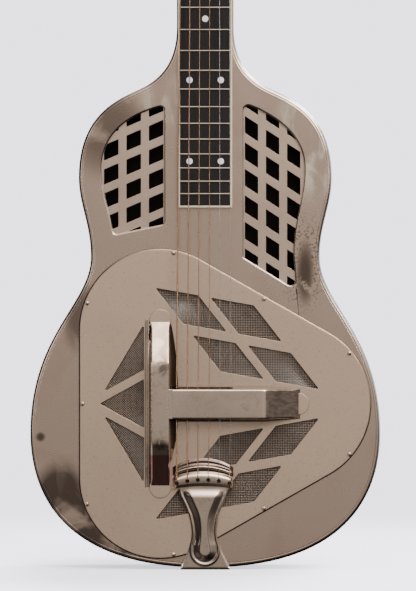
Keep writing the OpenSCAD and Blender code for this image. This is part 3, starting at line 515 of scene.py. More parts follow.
def all_finishes():
    """Every finish by its name, which is the record's material slot but for the seam's painted shadow and
    dark brass.
    """
    c = colours()
    metals = {
        "lattice_metal": (scaled(c.body, 0.95), 0.34, 16),
        # Painted shade: the well's metal is the body's colour darkened far, and the cast bridge's colour is
        # the darkened cone colour
        "well_metal": (scaled(c.body, 0.12), 0.5),
        "cast_aluminium": (scaled(c.cone, 0.85), 0.48, 60),
        "screen_wire": (c.wire, 0.38, 40),
        "screw_metal": (scaled(c.polish, 0.62), 0.24, 90),
        "brass": ((0.60, 0.40, 0.15), 0.28, 70),
        # Near-black for the seam round the cover plate: a painted shadow
        "grime": ((0.03, 0.024, 0.02), 0.6, 80),
        "dark_brass": ((0.05, 0.034, 0.02), 0.45, 70),
        "fret_metal": ((0.32, 0.26, 0.21), 0.3, 60),
        "tuner_metal": ((0.58, 0.54, 0.49), 0.24, 40),
        "plain_string": ((0.66, 0.64, 0.62), 0.22, 60),
    }
    woods = {
        "ebony": (c.board, scaled(c.board, 0.45), 0.52),
        "overlay": ((0.012, 0.010, 0.009), (0.006, 0.005, 0.005), 0.45),
        "mahogany": (c.wood, scaled(c.wood, 0.4), 0.44),
        "maple": ((0.55, 0.36, 0.18), (0.40, 0.23, 0.10), 0.5),
        "spruce": ((0.60, 0.42, 0.22), (0.44, 0.27, 0.12), 0.6, 1.6),
    }
    plastics = {
        "binding": (c.cream, 0.26),
        "bone": (scaled(c.cream, 1.08), 0.3),
        "roller_white": (c.cream, 0.3, (0.2, 1, 1)),
        "button_ivory": (scaled(c.cream, 1.05), 0.22, (1, 1, 1)),
    }
    made = {
        "body_metal": body_metal(), "cover_metal": cover_metal(), "polished_metal": polished_metal(),
        "cone_aluminium": spun_metal(), "string_metal": wound_metal(), "pearl": pearl(),
    }
    for make, kinds in ((plain_metal, metals), (wood, woods), (aged_plastic, plastics)):
        made.update({name: make(name, *given) for name, given in kinds.items()})
    return made


FINISHES = {}


# ---- outlines
def bezier(a, b, c, d, count):
    """Points of a curve from a to d, without d."""
    points = []
    for i in range(count):
        t = i / count
        s = 1 - t
        shares = (s**3, 3 * s * s * t, 3 * s * t * t, t**3)
        points.append(tuple(sum(share * p[k] for share, p in zip(shares, (a, b, c, d))) for k in (0, 1)))
    return points


def polar(centre, radius, angle):
    """The point at a radius and an angle in radians from a centre."""
    return centre[0] + radius * math.cos(angle), centre[1] + radius * math.sin(angle)


def arc(centre, radius, start, end, count):
    """Points of an arc, its angles in degrees, with both ends."""
    return [polar(centre, radius, math.radians(start + (end - start) * i / count)) for i in range(count + 1)]


def softened(points, count=6):
    """A closed outline of (x, z) or (x, z, radius), with an arc at each corner that has a radius."""
    out = []
    for i, point in enumerate(points):
        here = Vector(point[:2])
        radius = point[2] if len(point) > 2 else 0
        if not radius:
            out.append(tuple(here))
            continue
        back = (Vector(points[i - 1][:2]) - here).normalized()
        ahead = (Vector(points[(i + 1) % len(points)][:2]) - here).normalized()
        half = back.angle(ahead) / 2
        centre = here + (back + ahead).normalized() * radius / math.sin(half)
        first = here + back * radius / math.tan(half) - centre
        turn = (1 if back.cross(ahead) < 0 else -1) * (math.pi - 2 * half)
        for k in range(count + 1):
            out.append(tuple(centre + Matrix.Rotation(turn * k / count, 2) @ first))
    return out


def in_mm(points):
    return [tuple(v * MM for v in p) for p in points]


# How far each stretch of the body's outline keeps its direction before and after its place, in millimetres
TAIL_PULL = 0.844
BOUT_PULL = (-56.2, 100.8)
WAIST_PULL = (-48.1, 31.8)
UPPER_PULL = (-27.1, 64.1)
SHOULDER_PULL = (-23.4, 25.4)
JOIN_PULL = -36.3
SHOULDER_SLOPE = math.radians(24.9)
HEEL_PULL = 52 * MM


def half_body():
    """The body's outline from the tail up the treble side to where the neck begins."""
    s = body_sizes()
    tail, bout = (0, TAIL_END), (HALF_BOUT, s.bout_z)
    waist, upper = (s.half_waist, s.waist_z), (s.half_upper, s.upper_z)
    along = Vector((-math.cos(SHOULDER_SLOPE), math.sin(SHOULDER_SLOPE)))
    shoulder = Vector((s.shoulder_x, s.shoulder_z))
    before, after = (tuple(shoulder + pull * MM * along) for pull in SHOULDER_PULL)
    join_place = (HALF_NECK, s.join_z)

    def lift(point, z):
        return (point[0], point[1] + z * MM)

    return (bezier(tail, (TAIL_PULL * HALF_BOUT, TAIL_END), lift(bout, BOUT_PULL[0]), bout, 40)
            + bezier(bout, lift(bout, BOUT_PULL[1]), lift(waist, WAIST_PULL[0]), waist, 30)
            + bezier(waist, lift(waist, WAIST_PULL[1]), lift(upper, UPPER_PULL[0]), upper, 16)
            + bezier(upper, lift(upper, UPPER_PULL[1]), before, tuple(shoulder), 24)
            + bezier(tuple(shoulder), after, lift(join_place, JOIN_PULL), join_place, 24))


def body_line(inset=0.0):
    """Open outline of body and neck from the treble side's neck end round the tail to the bass side's."""
    start = body_sizes().join_z
    half = half_body() + [(HALF_NECK, start + (NECK_END - start) * i / 24) for i in range(25)]
    line = [Vector(p) for p in reversed(half)] + [Vector((-p[0], p[1])) for p in half[1:]]
    moved = []
    for i, point in enumerate(line):
        ahead = (line[min(i + 1, len(line) - 1)] - line[max(i - 1, 0)]).normalized()
        moved.append(tuple(point + inset * Vector((ahead.y, -ahead.x))))
    return moved


def heel_depth(z):
    """Where the rear of the back and neck lies at a height."""
    s = body_sizes()
    if z <= s.heel_start:
        return BACK_REAR
    low, high = (s.heel_start, BACK_REAR), (s.heel_end, NECK_REAR)
    line = bezier(low, (low[0] + HEEL_PULL, low[1]), (high[0] - HEEL_PULL, high[1]), high, 48) + [high]
    for a, b in zip(line, line[1:]):
        if a[0] <= z <= b[0]:
            return a[1] + (b[1] - a[1]) * (z - a[0]) / (b[0] - a[0])
    return NECK_REAR


def corners():
    """For each cone its centre, the next one's, and the directions that the cover's corner turns between."""
    found = []
    for i, centre in enumerate(CONES):
        before, after = CONES[i - 1], CONES[(i + 1) % 3]
        first = math.atan2(-(centre[0] - before[0]), centre[1] - before[1])
        last = math.atan2(-(after[0] - centre[0]), after[1] - centre[1])
        last += 2 * math.pi if last < first else 0
        found.append((centre, after, first, last))
    return found


def trefoil(radius):
    """Rounded triangle round the three cones, counter-clockwise seen from the front."""
    points = []
    for centre, _, first, last in corners():
        points += arc(centre, radius, math.degrees(first), math.degrees(last), 40)
    return points


def grilles():
    """The two openings in the upper bout."""
    bass = softened(in_mm(
        [(-41.1, 349.4, 4), (-41.1, 469.4, 4)]
        + bezier((-52, 466.4), (-81, 457.5), (-105.1, 438), (-105.1, 404.3), 24)
        + bezier((-105.1, 404.3), (-105.1, 385), (-96.4, 360), (-94.8, 349), 12)
        + [(-94.8, 349), (-92.6, 338.4, 4)]))
    treble = softened(in_mm(
        [(38.7, 315.6, 3), (92.4, 282.4, 5), (91.4, 292)]
        + bezier((90.9, 300), (90.4, 307), (89.5, 314), (89.5, 321), 5)
        + bezier((89.5, 321), (89.5, 350), (100.8, 376), (100.8, 404.2), 16)
        + bezier((100.8, 404.2), (100.8, 436), (78, 452.6), (61, 461.7), 18)
        + [(61, 461.7), (54, 465.7), (38.7, 471.6, 5)]))
    return bass, treble


def heading(degrees):
    return Vector((math.cos(math.radians(degrees)), math.sin(math.radians(degrees))))


def diamonds():
    """The four diamonds above the bridge's line, about that line; the lower four mirror them."""
    sides, bars, slopes = (44.1, 46.1), (12.6, 14.9), (-10.2, -52)
    a, b = heading(slopes[0]), heading(slopes[1])
    out = []
    for i in (0, 1):
        for k in (0, 1):
            corner = Vector((-50.4, 117)) + i * (sides[0] + bars[0]) * a + k * (sides[1] + bars[1]) * b
            out.append([tuple(corner), tuple(corner + sides[0] * a),
                        tuple(corner + sides[0] * a + sides[1] * b), tuple(corner + sides[1] * b)])
    return out


def cover_cuts():
    """Cuts of the cover plate: diamonds above and below the bridge and a fan of three on the bass side."""
    cuts = diamonds() + [[(x, -z) for x, z in cut] for cut in diamonds()]
    cuts.append([(-62.2, -24.4), (-62.2, 24.4), (-106.3, 0)])
    for s in (-1, 1):
        cuts.append([(-62.2, s * 34.4), (-62.2, s * 79.8), (-102.1, s * 12.6)])
    return [softened([(x * MM, BRIDGE_Z + z * MM, 0.8 * MM) for x, z in cut], 4) for cut in cuts]


def tee_slot(width):
    """Outline of the T-shaped slot round the bridge."""
    low, right, high = CONES
    half = width / 2
    return softened([
        (low[0] + half, low[1] - half, half * 0.9), (low[0] + half, BRIDGE_Z - half),
        (right[0] + half, BRIDGE_Z - half, half * 0.9), (right[0] + half, BRIDGE_Z + half, half * 0.9),
        (high[0] + half, BRIDGE_Z + half), (high[0] + half, high[1] + half, half * 0.9),
        (high[0] - half, high[1] + half, half * 0.9), (low[0] - half, low[1] - half, half * 0.9)])


# ---- modelling helpers
def deselect():
    if bpy.context.object and bpy.context.object.mode != "OBJECT":
        bpy.ops.object.mode_set(mode="OBJECT")
    bpy.ops.object.select_all(action="DESELECT")


def pick(*objects):
    deselect()
    for obj in objects:
        obj.select_set(True)
    bpy.context.view_layer.objects.active = objects[0]
    return objects[0]


def settle(obj, name=None):
    """Puts an object's place into its mesh, so that it stands at the origin unturned."""
    pick(obj)
    bpy.ops.object.transform_apply(location=True, rotation=True, scale=True)
    if name:
        obj.name = name
        obj.data.name = name
    return obj


def edit(obj, mode="VERT"):
    """Enters edit mode with everything selected."""
    pick(obj)
    bpy.ops.object.mode_set(mode="EDIT")
    bpy.ops.mesh.select_mode(type=mode)
    bpy.ops.mesh.select_all(action="SELECT")


def done():
    bpy.ops.object.mode_set(mode="OBJECT")


def delete_faces(obj, test):
    """Deletes the faces for which the test is true."""
    edit(obj, "FACE")
    bpy.ops.mesh.select_all(action="DESELECT")
    done()
    for face in obj.data.polygons:
        face.select = bool(test(face))
    bpy.ops.object.mode_set(mode="EDIT")
    bpy.ops.mesh.delete(type="FACE")
    done()


def smooth(obj, degrees=35):
    """Smooth shading, but for edges sharper than an angle and with flat faces kept even."""
    pick(obj)
    bpy.ops.object.shade_smooth_by_angle(angle=math.radians(degrees))
    return modify(obj, "WEIGHTED_NORMAL", keep_sharp=True)


def clean(obj, merge=0.02 * MM):
    """Merges doubles and turns all faces outwards."""
    edit(obj)
    bpy.ops.mesh.remove_doubles(threshold=merge)
    bpy.ops.mesh.normals_make_consistent(inside=False)
    done()
    return obj


def modify(obj, kind, **settings):
    """Adds a modifier and applies it."""
    pick(obj)
    made = obj.modifiers.new(kind.title(), kind)
    for key, value in settings.items():
        setattr(made, key, value)
    bpy.ops.object.modifier_apply(modifier=made.name)
    return obj


def bevel(obj, width, segments, degrees=35):
    """Rounds the edges that are sharper than an angle."""
    return modify(obj, "BEVEL", width=width, segments=segments, limit_method="ANGLE",
                  angle_limit=math.radians(degrees), use_clamp_overlap=True, harden_normals=False)


def poly_curve(paths, dimensions, cyclic):
    """A curve object with a straight-sided spline along each path."""
    deselect()
    bpy.ops.curve.primitive_bezier_circle_add(radius=0.01)
    obj = bpy.context.object
    obj.data.splines.clear()
    obj.data.dimensions = dimensions
    for path in paths:
        spline = obj.data.splines.new("POLY")
        spline.points.add(len(path) - 1)
        for point, place in zip(spline.points, path):
            point.co = (*Vector(place).to_3d(), 1)
        spline.use_cyclic_u = cyclic
    return obj


def meshed(name):
    """Turns the active curve into a mesh that stands at the origin."""
    bpy.ops.object.convert(target="MESH")
    return settle(bpy.context.object, name)


def flat(name, loops, back, front, edge, rings=2, filled=True, closed=True):
    """A sheet cut to outlines in X and Z, between two heights in front of the middle plane."""
    obj = poly_curve(loops, "2D", closed)
    curve = obj.data
    curve.fill_mode = "BOTH" if filled else "NONE"
    curve.extrude = (front - back) / 2 - (edge if filled else 0)
    if filled:
        curve.bevel_depth = edge
        curve.bevel_resolution = rings
        curve.offset = -edge
    obj.location = (0, -(back + front) / 2, 0)
    obj.rotation_euler = (math.pi / 2, 0, 0)
    sheet = meshed(name)
    return clean(sheet, 0.004 * MM) if filled else sheet


def rod(name, path, radius, sides=3, cyclic=False):
    """A round bar along points in metres, with closed ends."""
    curve = poly_curve([path], "3D", cyclic).data
    curve.bevel_depth = radius
    curve.bevel_resolution = sides
    curve.use_fill_caps = True
    return smooth(meshed(name), 60)


def twin(node, name):
    """A copy of a CAD node's mesh, merged and with its flat faces joined."""
    source = frame["nodes"][node]
    copy = source.copy()
    copy.data = source.data.copy()
    copy.parent = None
    bpy.context.collection.objects.link(copy)
    copy.matrix_world = source.matrix_world
    settle(copy, name)
    copy.data.materials.clear()
    edit(copy)
    bpy.ops.mesh.remove_doubles(threshold=0.01 * MM)
    bpy.ops.mesh.dissolve_limited(angle_limit=math.radians(1))
    done()
    return copy


def dress(obj, slot, *nodes, body=BODY, finish=None):
    """Gives a new piece its finish, its body and the CAD nodes that it stands for."""
    obj.data.materials.clear()
    obj.data.materials.append(FINISHES[finish or slot])
    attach(obj, body)
    if nodes:
        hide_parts(*nodes)
    return obj


def join(*objects, name=None):
    """One object from several; it keeps the first one's name where no other is given."""
    pick(*objects)
    bpy.ops.object.join()
    joined = bpy.context.object
    if name:
        joined.name = joined.data.name = name
    return joined


def move_points(obj, place):
    """Sets each vertex to what place gives for it."""
    for vertex in obj.data.vertices:
        vertex.co = place(vertex.co.copy())
    obj.data.update()
    return obj


def surface(name, rows, columns, place):
    """A grid whose points are put in place by (across, along), both from 0 to 1."""
    deselect()
    bpy.ops.mesh.primitive_grid_add(x_subdivisions=columns, y_subdivisions=rows, size=1)
    obj = bpy.context.object
    obj.name = obj.data.name = name
    return move_points(obj, lambda p: Vector(place(p.x + 0.5, p.y + 0.5)))


def ease(t):
    """Eased step from 0 to 1."""
    t = min(1.0, max(0.0, t))
    return t * t * (3 - 2 * t)


def loft(name, grid):
    """A surface through rows of points, the same number in each."""
    rows, columns = len(grid) - 1, len(grid[0]) - 1
    return surface(name, rows, columns, lambda x, y: grid[round(y * rows)][round(x * columns)])


def lathe(name, profile, sides):
    """A turned shape round the local Z axis; profile holds (radius, height) from one end to the other."""
    turns = [2 * math.pi * i / sides for i in range(sides + 1)]
    grid = [[(*polar((0, 0), radius, turn), height) for turn in turns] for radius, height in profile]
    return clean(loft(name, grid), 0.005 * MM)


def soften(node, name, slot, width, segments=3, degrees=35):
    """Stands a copy of a CAD node with rounded edges in its place."""
    dress(smooth(bevel(twin(node, name), width, segments, degrees), degrees), slot, node)


def put(obj, matrix):
    """Moves an object's mesh itself."""
    obj.data.transform(matrix)
    obj.data.update()
    return obj


def facing_front(x, front, z):
    """Local Z points out of the guitar's front."""
    return Matrix.Translation((x, -front, z)) @ Matrix.Rotation(math.pi / 2, 4, "X")


def copy_of(obj, name):
    copy = obj.copy()
    copy.data = obj.data.copy()
    bpy.context.collection.objects.link(copy)
    copy.name = copy.data.name = name
    return copy


def cut(obj, tool):
    """Cuts a tool out of an object and removes the tool."""
    modify(obj, "BOOLEAN", object=tool, operation="DIFFERENCE", solver="EXACT")
    bpy.data.objects.remove(tool)


def block(x0, x1, front0, front1, z0, z1):
    """A box between two places on each axis, the middle ones in front of the middle plane."""
    deselect()
    bpy.ops.mesh.primitive_cube_add(size=1, location=((x0 + x1) / 2, -(front0 + front1) / 2, (z0 + z1) / 2),
                                    scale=(x1 - x0, front1 - front0, z1 - z0))
    return settle(bpy.context.object)


# ---- body
RIM_BACK = 3 * MM
WALL_INSET = 0.5 * MM
WELL_MARGIN = 3 * MM
HEEL_CUTS = 26


def cutter(name, loops, back, front):
    """A sharp-edged tool for cut()."""
    return flat(name, loops, back, front, 0.01 * MM, 0)


def top_sheet():
    """The front sheet with its rolled lips and edge and the well's opening."""
    s = body_sizes()
    plate = flat("top_sheet", [body_line(s.roll), *grilles()], TOP_FRONT - RIM_BACK, TOP_FRONT, s.rim, 4)
    well = trefoil(CONE_RADIUS + WELL_MARGIN)
    cut(plate, cutter("well", [well], TOP_FRONT - RIM_BACK - 2 * MM, TOP_FRONT + 2 * MM))
    edge = rod("rolled_edge", [(x, s.roll - TOP_FRONT, z) for x, z in body_line(s.roll)], s.roll, 5, True)
    dress(smooth(join(plate, edge)), "body_metal", "top_plate")


def side_sheet(name, line, node):
    """One side: a wall along half of the outline, its rear edge on the heel's sweep."""
    wall = flat(name, [line], -BACK_REAR + RIM_BACK, TOP_FRONT - RIM_BACK, 0, filled=False, closed=False)
    move_points(wall, lambda p: p if p.y < 0 else Vector((p.x, heel_depth(p.z) - RIM_BACK, p.z)))
    modify(wall, "SOLIDIFY", thickness=WALL, offset=0)
    dress(smooth(clean(wall)), "body_metal", node)


def rear_sheets():
    """Back and neck: a sheet cut across along the heel and swept forwards there, then parted at the seam."""
    s = body_sizes()
    sheet = flat("back_sheet", [body_line()], -BACK_REAR, -BACK_REAR + RIM_BACK, s.rim, 4)
    edit(sheet)
    for i in range(HEEL_CUTS + 1):
        height = s.heel_start + (s.heel_end - s.heel_start) * i / HEEL_CUTS
        bpy.ops.mesh.select_all(action="SELECT")
        bpy.ops.mesh.bisect(plane_co=(0, 0, height), plane_no=(0, 0, 1))
    done()
    neck = copy_of(sheet, "neck_sheet")
    for part, side in ((sheet, {"clear_outer": True}), (neck, {"clear_inner": True})):
        edit(part)
        bpy.ops.mesh.bisect(plane_co=(0, 0, BACK_SEAM), plane_no=(0, 0, 1), use_fill=True, **side)
        done()
        move_points(part, lambda p: Vector((p.x, p.y + heel_depth(p.z) - BACK_REAR, p.z)))
        smooth(clean(part))
    dress(sheet, "body_metal", "back_plate")
    dress(neck, "body_metal", "neck_back")


class GUITAR_OT_body(bpy.types.Operator):
    """Models the top sheet with its rolled lips, the sides, the back and the neck's rear"""

    bl_idname = "guitar.body"
    bl_label = "Body sheets"

    def execute(self, context):
        top_sheet()
        line = body_line(WALL_INSET)
        half = len(line) // 2
        side_sheet("side_sheet_treble", line[:half + 1], "side_treble")
        side_sheet("side_sheet_bass", line[half:], "side_bass")
        rear_sheets()
        return {"FINISHED"}


class GUITAR_OT_lattices(bpy.types.Operator):
    """Models the stamped lattices behind the two openings"""

    bl_idname = "guitar.lattices"
    bl_label = "Lattices"

    def execute(self, context):
        for node in ("lattice_bass", "lattice_treble"):
            soften(node, node + "_stamped", "lattice_metal", 0.4 * MM)
        return {"FINISHED"}


# ---- resonators
CONE_SHEET = 0.6 * MM
CROWN_RADIUS = 13 * MM
CONE_FLANGE = 6 * MM
RIB_DEPTH = 0.22 * MM


def cone_profile():
    """Radius and height from crown to rim, with fine spun ribs."""
    crown, flat_rim, rise = CROWN_RADIUS, CONE_RADIUS - CONE_FLANGE, CONE_FRONT - CONE_FLOOR - CONE_SHEET
    profile = [(0, rise), (crown * 0.8, rise), (crown, rise - 0.1 * MM)]
    count = 44
    for i in range(1, count):
        t = i / count
        rib = RIB_DEPTH * (0.5 - 0.5 * math.cos(2 * math.pi * i / 4)) * ease(6 * t) * ease(6 - 6 * t)
        profile.append((crown + (flat_rim - crown) * t, rise * (1 - t) - rib))
    return profile + [(flat_rim, 0), (CONE_RADIUS - CONE_SHEET, 0)]


class GUITAR_OT_resonators(bpy.types.Operator):
    """Spins the three cones and softens the bridge that stands on them"""

    bl_idname = "guitar.resonators"
    bl_label = "Resonators"

    def execute(self, context):
        first = lathe("cone", cone_profile(), 96)
        rings = first.data.attributes.new("ring", "FLOAT", "POINT")
        for vertex, value in zip(first.data.vertices, rings.data):
            value.value = vertex.co.xy.length
        modify(first, "SOLIDIFY", thickness=0.5 * MM, offset=-1)
        for node, (x, z) in zip(CONE_NODES, CONES):
            cone = put(copy_of(first, "spun_" + node), facing_front(x, CONE_FLOOR + CONE_SHEET, z))
            dress(smooth(cone, 50), "cone_aluminium", node)
        bpy.data.objects.remove(first)
        soften("t_bridge", "cast_bridge", "cast_aluminium", 0.7 * MM)
        return {"FINISHED"}


# ---- cover plate
class GUITAR_OT_cover(bpy.types.Operator):
    """Models the rounded triangular cover plate with its cuts, slot and turned rim"""

    bl_idname = "guitar.cover"
    bl_label = "Cover plate"

    def execute(self, context):
        c = cover_sizes()
        outline = trefoil(c.radius - c.roll)
        plate = flat("cover_sheet", [outline, *cover_cuts(), tee_slot(c.slot)], COVER_FRONT - c.sheet,
                     COVER_FRONT, 0.35 * MM, 3)
        turn = rod("turned_edge", [(x, c.roll - COVER_FRONT, z) for x, z in outline], c.roll, 4, True)
        rim = flat("rim", [trefoil(c.radius - 0.5 * MM)], TOP_FRONT, COVER_FRONT - c.roll, 0, filled=False)
        modify(rim, "SOLIDIFY", thickness=0.9 * MM, offset=0)
        dress(smooth(join(plate, clean(rim), turn)), "cover_metal", "cover_plate")
        # A thin dark rod round the cover plate: painted shadow of the gap where the plate sits on the top
        seam = [(x, -TOP_FRONT - 0.1 * MM, z) for x, z in trefoil(c.radius)]
        dress(rod("cover_seam", seam, 0.4 * MM, 2, True), "cover_metal", finish="grime")
        return {"FINISHED"}


# Pieces of wire cloth: name, corners about the bridge's line in millimetres, side of it and turn in degrees
UPPER_CLOTH = ((-57, 121), (55, 101.5), (126, 10.5), (14, 29))
FAN_CLOTH = ((-59.2, -86), (-59.2, 86), (-111, 6), (-111, -6))
CLOTHS = (("cloth_upper", UPPER_CLOTH, 1, 0), ("cloth_lower", UPPER_CLOTH, -1, 0),
          ("cloth_fan", FAN_CLOTH, 1, 45))


def zigzag(axis, offset, wave, length, radius):
    """One wire of a woven cell, two pitches long, that passes over and under its neighbours."""
    other = 1 - axis
    deselect()
    turn = (math.pi / 2, 0, 0) if axis else (0, math.pi / 2, 0)
    start = [0, 0, 0]
    start[other] = offset
    start[2] = wave
    bpy.ops.mesh.primitive_circle_add(vertices=4, radius=radius, fill_type="NOTHING", location=start,
                                      rotation=turn)
    wire = bpy.context.object
    edit(wire)
    for step in (-2 * wave, 2 * wave):
        shift = [0, 0, step]
        shift[axis] = length / 2
        bpy.ops.mesh.extrude_region_move(TRANSFORM_OT_translate={"value": shift})
    done()
    return settle(wire)


def cloth(name, region, turn):
    """Woven wire cloth over a convex region of (x, z): one cell repeated, then trimmed at its sides."""
    c = cover_sizes()
    pitch, wave = c.pitch, c.wire * 0.75
    wires = ((0, 0, -wave), (0, pitch, wave), (1, 0, wave), (1, pitch, -wave))
    cell = join(*[zigzag(axis, offset, lift, 2 * pitch, c.wire) for axis, offset, lift in wires], name=name)
    centre = sum((Vector(p) for p in region), Vector((0, 0))) / len(region)
    spins = Matrix.Rotation(-turn, 2)
    local = [spins @ (Vector(p) - centre) for p in region]
    reach = [max(abs(p[k]) for p in local) for k in (0, 1)]
    for k in (0, 1):
        offset = [0, 0, 0]
        offset[k] = 2 * pitch
        modify(cell, "ARRAY", count=math.ceil(reach[k] / pitch) + 1, use_relative_offset=False,
               use_constant_offset=True, constant_offset_displace=offset, use_merge_vertices=True,
               merge_threshold=0.01 * MM)
    put(cell, Matrix.Translation((-reach[0] - pitch, -reach[1] - pitch, 0)))
    edit(cell)
    for a, b in zip(local, local[1:] + local[:1]):
        out = Vector(((b - a).y, -(b - a).x))
        out = out if out.dot(a) > 0 else -out
        bpy.ops.mesh.select_all(action="SELECT")
        bpy.ops.mesh.bisect(plane_co=(*a, 0), plane_no=(*out, 0), clear_outer=True)
    bpy.ops.mesh.select_all(action="SELECT")
    bpy.ops.mesh.normals_make_consistent(inside=False)
    done()
    place = facing_front(centre.x, COVER_FRONT - c.sheet - 0.25 * MM, centre.y)
    return smooth(put(cell, place @ Matrix.Rotation(turn, 4, "Z")), 60)


class GUITAR_OT_cloth(bpy.types.Operator):
    """Weaves the wire cloth under the cover plate's cuts"""

    bl_idname = "guitar.cloth"
    bl_label = "Wire cloth"

    def execute(self, context):
        for name, corners_mm, side, degrees in CLOTHS:
            region = [(x * MM, BRIDGE_Z + side * z * MM) for x, z in corners_mm]
            dress(cloth(name, region, math.radians(degrees)), "screen_wire", "cover_screens")
        return {"FINISHED"}


SCREW_MARGIN = 3.2 * MM
SCREW_TURN = math.radians(20)


class GUITAR_OT_screws(bpy.types.Operator):
    """Models one domed slotted screw and sets a copy at each screw of the cover plate"""

    bl_idname = "guitar.screws"
    bl_label = "Cover screws"

    def execute(self, context):
        radius, low, shoulder, dome = 2.2 * MM, -1.2 * MM, 0.35 * MM, 1 * MM
        profile = [(0, low), (radius, low), (radius, 0.1 * MM), (radius * 0.97, shoulder)]
        profile += [(radius * math.cos(a), shoulder + dome * math.sin(a))
                    for a in (math.radians(15 * i) for i in range(1, 6))]
        head = lathe("screw", profile + [(0, shoulder + dome)], 28)
        slot = block(-3 * MM, 3 * MM, 0.85 * MM, 2 * MM, -0.28 * MM, 0.28 * MM)
        put(slot, Matrix.Rotation(-math.pi / 2, 4, "X"))
        cut(head, slot)
        luck = random.Random(4)
        copies = []
        for x, z in screw_places():
            copy = copy_of(head, "cover_screw")
            put(copy, facing_front(x, COVER_FRONT, z) @ Matrix.Rotation(luck.uniform(0, math.pi), 4, "Z"))
            copies.append(copy)
        bpy.data.objects.remove(head)
        dress(smooth(join(*copies, name="cover_screw_heads"), 40), "screw_metal", "cover_screws")
        return {"FINISHED"}


def screw_places():
    """Two screws in each corner of the cover plate and one in the middle of each side."""
    radius = cover_sizes().radius - SCREW_MARGIN
    places = []
    for centre, after, first, last in corners():
        places += [polar(centre, radius, angle) for angle in (first + SCREW_TURN, last - SCREW_TURN)]
        places.append(polar([(centre[k] + after[k]) / 2 for k in (0, 1)], radius, last))
    return places


# ---- handrest
REST_WALL = 1 * MM
# The upright bar's crest is level as far as FLAT from the bridge's line and meets the cover at RUN
RUN = 84.4 * MM
FLAT = 41.6 * MM
CROSS_END = 96 * MM
CROSS_FLAT = 60.2 * MM
FLARE = 8.6 * MM
SPREAD = 3.2 * MM
SUNK = 0.4 * MM
# The strings' window in the cross bar's walls: across, and above the cover and below the crest
WINDOW_X = (-31.4 * MM, 28.4 * MM)
WINDOW_SILL = 5 * MM
WINDOW_HEAD = 2.6 * MM
FOLD_RADIUS = 1.8 * MM
TAB_RADIUS = 11 * MM
# Steps of the upright bar's left foot: millimetres from the crest's edge and share of the height
LEDGES = ((-6.2, 0), (-5.8, 0.05), (-4.4, 0.052), (-3.9, 0.12), (-2.5, 0.122), (-1.9, 0.26))


def ramp_down(distance, start, end, rounding=0.0025):
    """Height of the handrest's crest at a distance: level up to start, then straight down to its foot."""
    def rounded(t):
        return (t + math.sqrt(t * t + rounding)) / 2

    fallen = min(1.0, rounded((distance - start) / (end - start)) / rounded(1))
    return REST_FRONT - (REST_FRONT - COVER_FRONT) * fallen


def hood_section(left_foot, left, right, right_foot, height, bend, ledges=()):
    """Points of a hood's cross section as (across, front) from foot to foot, as many for each height."""
    tall = height - COVER_FRONT
    radius = min(FOLD_RADIUS, tall * 0.45 + 0.01 * MM)
    points = [(left_foot + (left - left_foot) * ease(i / 5) ** 0.7, COVER_FRONT + (tall - radius) * i / 5)
              for i in range(5)]
    if ledges:
        points = [(left + x * MM, COVER_FRONT + (tall - radius) * t) for x, t in ledges]
    points += arc((left + radius, height - radius), radius, 180, 90, 8)
    points += [(left + radius + (right - left - 2 * radius) * i / 6, height) for i in range(1, 6)]
    points += arc((right - radius, height - radius), radius, 90, 0, 8)
    points += [(right + (right_foot - right) * (i / 10) ** bend, height - radius - (tall - radius) * i / 10)
               for i in range(1, 11)]
    return points


def upright_hood():
    """Hood over the bridge's upright bar: level in the middle, sloping at both ends, flared inside."""
    c = cover_sizes()
    left, right = UPRIGHT_X - c.crest / 2, UPRIGHT_X + c.crest / 2
    rows = 96
    grid = []
    for offset in (RUN * (2 * i / rows - 1) for i in range(rows + 1)):
        reach = RUN if offset > 0 else 60 * MM
        flare = FLARE * max(0.0, 1 - (offset / reach) ** 2) ** 0.8
        height = ramp_down(abs(offset), FLAT, RUN)
        section = hood_section(left, left, right, right + 0.4 * MM + flare, height, 1.7, LEDGES)
        grid.append([(x, -front, BRIDGE_Z + offset) for x, front in section])
    return loft("upright", grid)


def cross_hood():
    """Hood over the saddle and the bridge's cross bar, sloping down at the treble end."""
    c = cover_sizes()
    half, start = c.cross / 2, UPRIGHT_X + c.crest / 2 - 1.5 * MM
    rows = 80
    grid = []
    for x in (start + (CROSS_END - start) * i / rows for i in range(rows + 1)):
        height = ramp_down(x, CROSS_FLAT, CROSS_END)
        spread = SPREAD * (height - COVER_FRONT) / (REST_FRONT - COVER_FRONT)
        sunk = SUNK * (1 - ease((x - 80 * MM) / (16 * MM)))
        section = hood_section(-half - spread, -half, half, half + spread, height - sunk, 1.5)
        grid.append([(x, -front, BRIDGE_Z + z) for z, front in section])
    return loft("cross", grid)


def thick(obj, thickness):
    """Gives a sheet that faces the front its thickness inwards."""
    clean(obj, 0.002 * MM)
    if sum(p.normal.y * p.area for p in obj.data.polygons) > 0:
        edit(obj)
        bpy.ops.mesh.flip_normals()
        done()
    return modify(obj, "SOLIDIFY", thickness=thickness, offset=-1)


def folded_strip():
    """Narrow folded strip where the cross bar leaves the upright bar."""
    c = cover_sizes()
    edge = UPRIGHT_X + c.crest / 2
    low, high = BRIDGE_Z - c.cross / 2, BRIDGE_Z + c.cross / 2
    left, right = edge - 1.6 * MM, edge + 3.2 * MM
    strip = softened([(x, z, 0.6 * MM) for x, z in ((left, low), (right, low), (right, high), (left, high))])
    return flat("fold", [strip], REST_FRONT - 2 * MM, REST_FRONT, 0.4 * MM)


def string_window(face):
    """True for a face of the cross bar's side walls where the strings pass."""
    x, y, z = face.center
    level = COVER_FRONT + WINDOW_SILL < -y < REST_FRONT - WINDOW_HEAD
    wall = abs(z - BRIDGE_Z) > cover_sizes().cross / 2 - 1 * MM
    return WINDOW_X[0] < x < WINDOW_X[1] and level and wall


